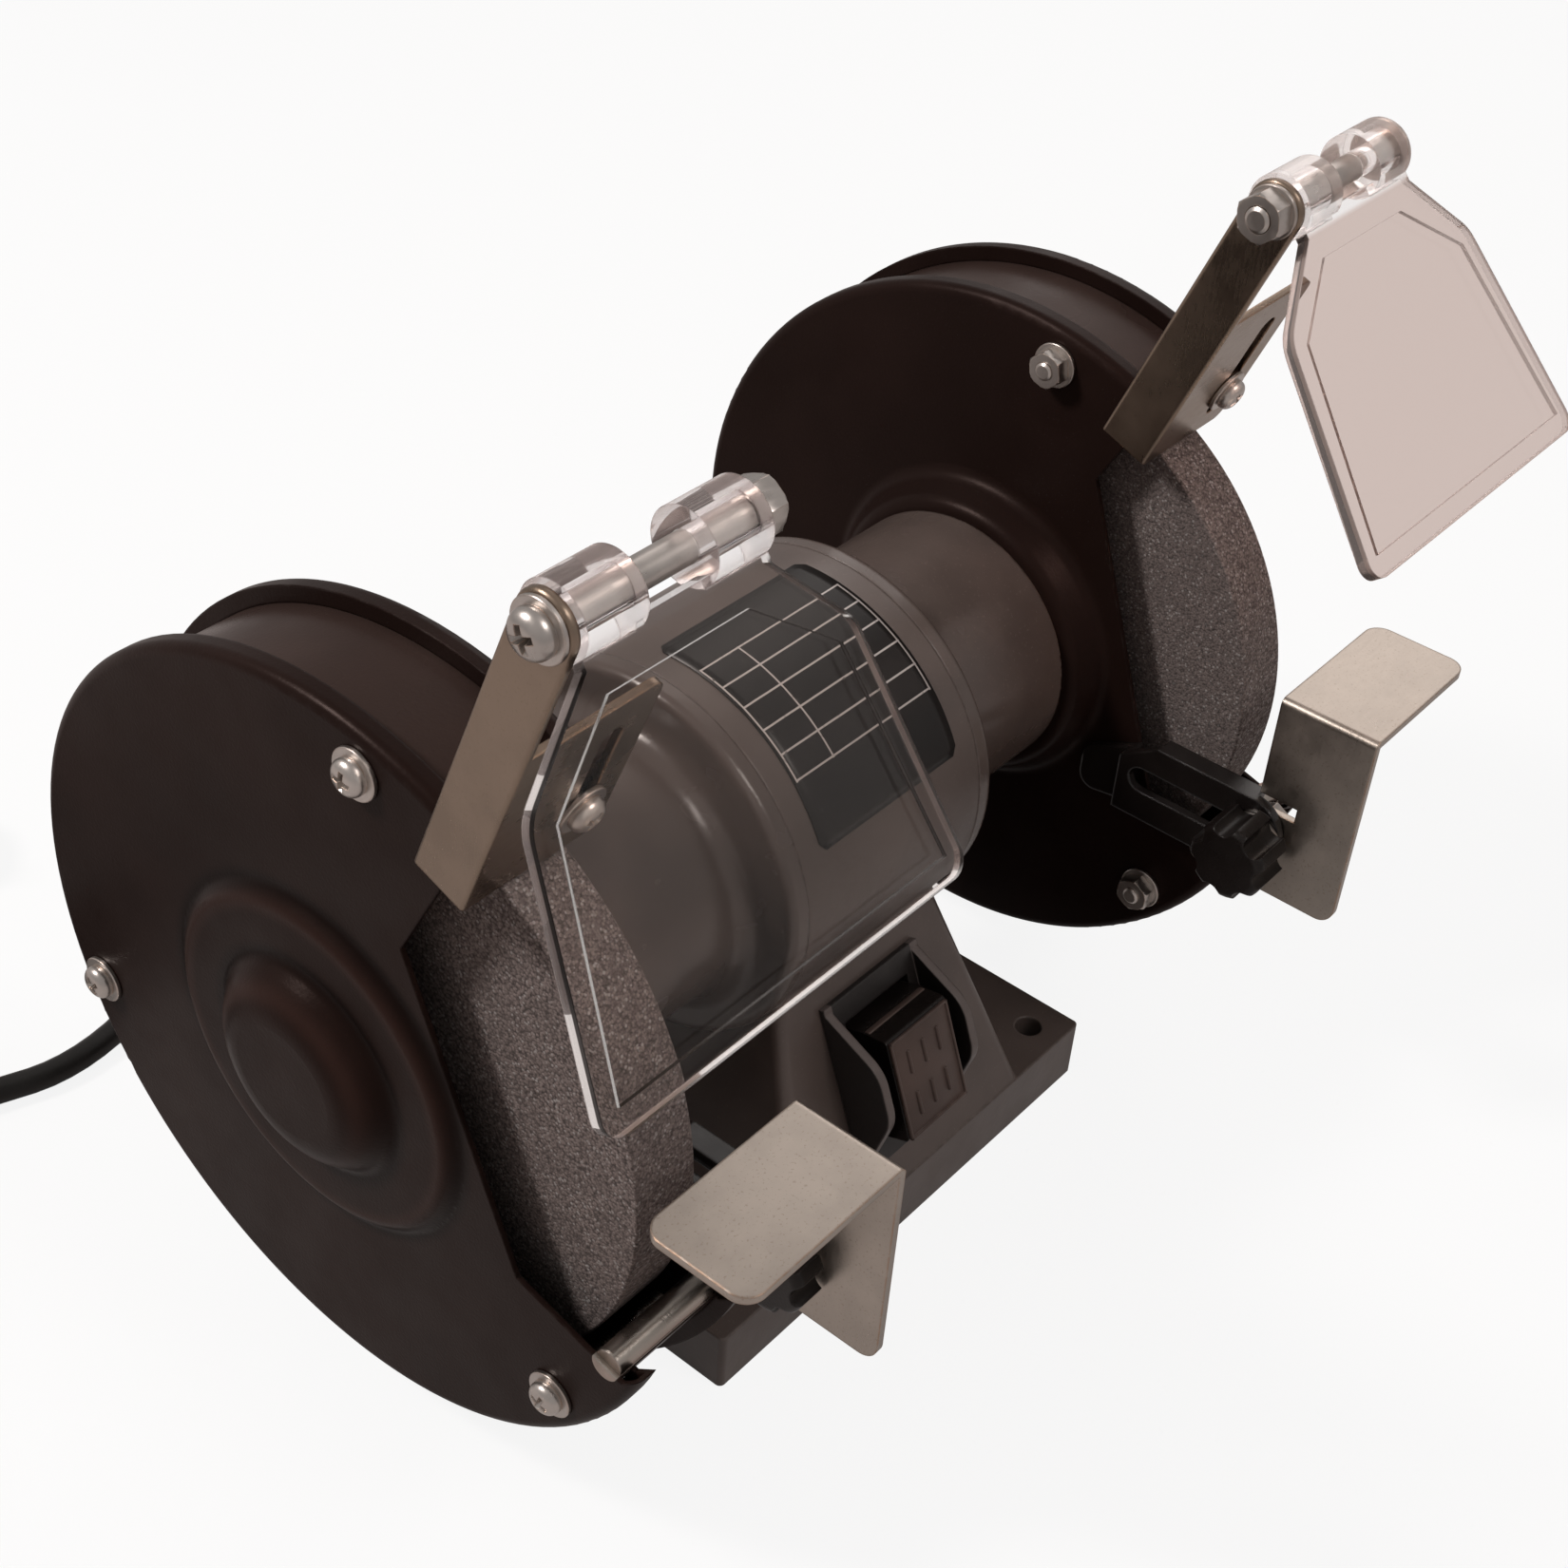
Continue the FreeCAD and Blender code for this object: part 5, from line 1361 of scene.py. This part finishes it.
@dataclass
class Motor:
    """Casting, end bells, working parts and the blank plate on the barrel."""

    shaft_height: float = 102.0
    barrel_radius: float = 46.4
    plate_half: float = 24.3
    plate_low: float = 22.5
    plate_high: float = 97.0
    plate_gauge: float = 0.25
    plate_corner: float = 1.6
    plate_grid: tuple[int, int] = (16, 30)

    def build(self) -> None:
        """Dress the solids and wrap the plate."""
        dress(PAINT, "motor_frame")
        dress(BELL, "left_end_bell", "right_end_bell")
        dress(SHEET_ZINC, "base_plate")
        dress(BRIGHT_ZINC, "base_plate_screws", "cover_screws")
        dress(STEEL, "shaft", "left_bearing", "right_bearing")
        dress(STACK, "rotor_core", "stator_core")
        dress(COPPER, "stator_windings")
        dress(CAN, "capacitor")
        self.plate()

    def plate(self) -> None:
        """Thin printed plate with rounded corners, wrapped on the barrel."""
        bm = bmesh.new()
        layer = bm.loops.layers.uv.new("plate")
        across, around = self.plate_grid
        half, corner = self.plate_half, self.plate_corner
        reach = self.barrel_radius + self.plate_gauge
        arc = math.radians(self.plate_high - self.plate_low) * self.barrel_radius
        grid = []
        for row in range(around + 1):
            down = row / around
            rim = min(down * arc, (1 - down) * arc, corner)
            inset = corner - math.sqrt(corner ** 2 - (corner - rim) ** 2)
            angle = math.radians(self.plate_high + (self.plate_low - self.plate_high) * down)
            along, up = -reach * math.cos(angle), self.shaft_height + reach * math.sin(angle)
            line = []
            for column in range(across + 1):
                x = (half - inset) * (2 * column / across - 1)
                line.append((bm.verts.new(mm(x, along, up)), (0.5 + x / (2 * half), down)))
            grid.append(line)
        for first, second in zip(grid, grid[1:]):
            for index in range(across):
                corners = (first[index], first[index + 1], second[index + 1], second[index])
                face = bm.faces.new([c[0] for c in corners])
                for loop, (_, spot) in zip(face.loops, corners):
                    loop[layer].uv = spot
        mesh = to_mesh(bm, "blank_plate")
        piece = add_piece("blank_plate", mesh, PRINT, "frame")
        thick = piece.modifiers.new("gauge", "SOLIDIFY")
        thick.thickness = self.plate_gauge * MM
        thick.offset = -1.0


@dataclass
class WheelGuard:
    """One wheel with its guard, tool rest, spark plate and eye shield."""

    side: Side

    def build(self) -> None:
        """Dress every node of this side."""
        for finish, parts in (
            (GUARD, ("inner_cover", "outer_cover")), (LIT_BAND, ("guard_band",)), (GRIT, ("wheel",)),
            (STEEL, ("inner_flange", "outer_flange")), (GLOSS_STEEL, ("rest_arm",)),
            (BRIGHT_ZINC, ("spindle_nut", "rest_stud", "rest_nut")), (PLASTIC, ("rest_knob",)),
            (SHEET_ZINC, ("tool_rest",)), (BRACKET_ZINC, ("shield_bracket",)),
            (CLEAR[self.side], ("eye_shield",)),
        ):
            dress(finish, *(f"{self.side.word}_{part}" for part in parts))


@dataclass
class Switch:
    """Rocker switch in the sloping front of the pedestal."""

    origin: Point = (0.0, -49.77, 46.5)
    lean: float = -21.29
    face: float = -12.5
    half_width: float = 11.0
    low: float = -14.0
    high: float = 13.0
    border: float = 0.8
    proud: float = 0.5
    rib: Point = (1.1, 1.1, 6.4)
    rib_pitch: float = 5.4
    rib_up: float = 5.6

    def build(self) -> None:
        """Dress body and rocker and raise the rocker's ribs and border."""
        dress(SWITCH, "switch_body")
        dress(PLASTIC, "rocker")
        self.face_plate()

    def face_plate(self) -> None:
        """Grey face with a raised border and two rows of ribs."""
        bm = bmesh.new()
        middle = (self.low + self.high) / 2
        tall = self.high - self.low
        wide = 2 * self.half_width
        join(bm, bar((wide - 0.6, 0.5, tall - 0.8), (0, self.face - 0.2, middle), 0.2))
        front, edge = self.face - self.proud, self.border
        for sign in (-1, 1):
            side, end = sign * (self.half_width - 0.7), middle + sign * (tall / 2 - edge)
            join(bm, bar((edge, edge, tall - edge), (side, front, middle), 0.25))
            join(bm, bar((wide - 0.6, edge, edge), (0, front, end), 0.25))
            for column in (-1, 0, 1):
                spot = (column * self.rib_pitch, front, middle + sign * self.rib_up)
                join(bm, bar(self.rib, spot, 0.45, 3))
        join(bm, bar((wide - 1.0, 1.8, 1.2), (0, self.face + 6.0, self.high + 0.9), 0.4))
        turn = Matrix.Rotation(math.radians(self.lean), 4, "X")
        bm.transform(Matrix.Translation(mm(*self.origin)) @ turn)
        add_piece("rocker_face", to_mesh(bm, "rocker_face"), ROCKER, "switch_rocker")


def main() -> None:
    """Build the studio and every sub-assembly in order."""
    logging.basicConfig(level=logging.INFO, format="%(name)s: %(message)s")
    parts: list[Any] = [Studio(), MainsLead(), Motor(), Switch()]
    parts += [WheelGuard(side) for side in Side]
    parts.append(Fasteners())
    for part in parts:
        part.build()
        log.info("%s ready", type(part).__name__)


if __name__ == "__main__":
    main()
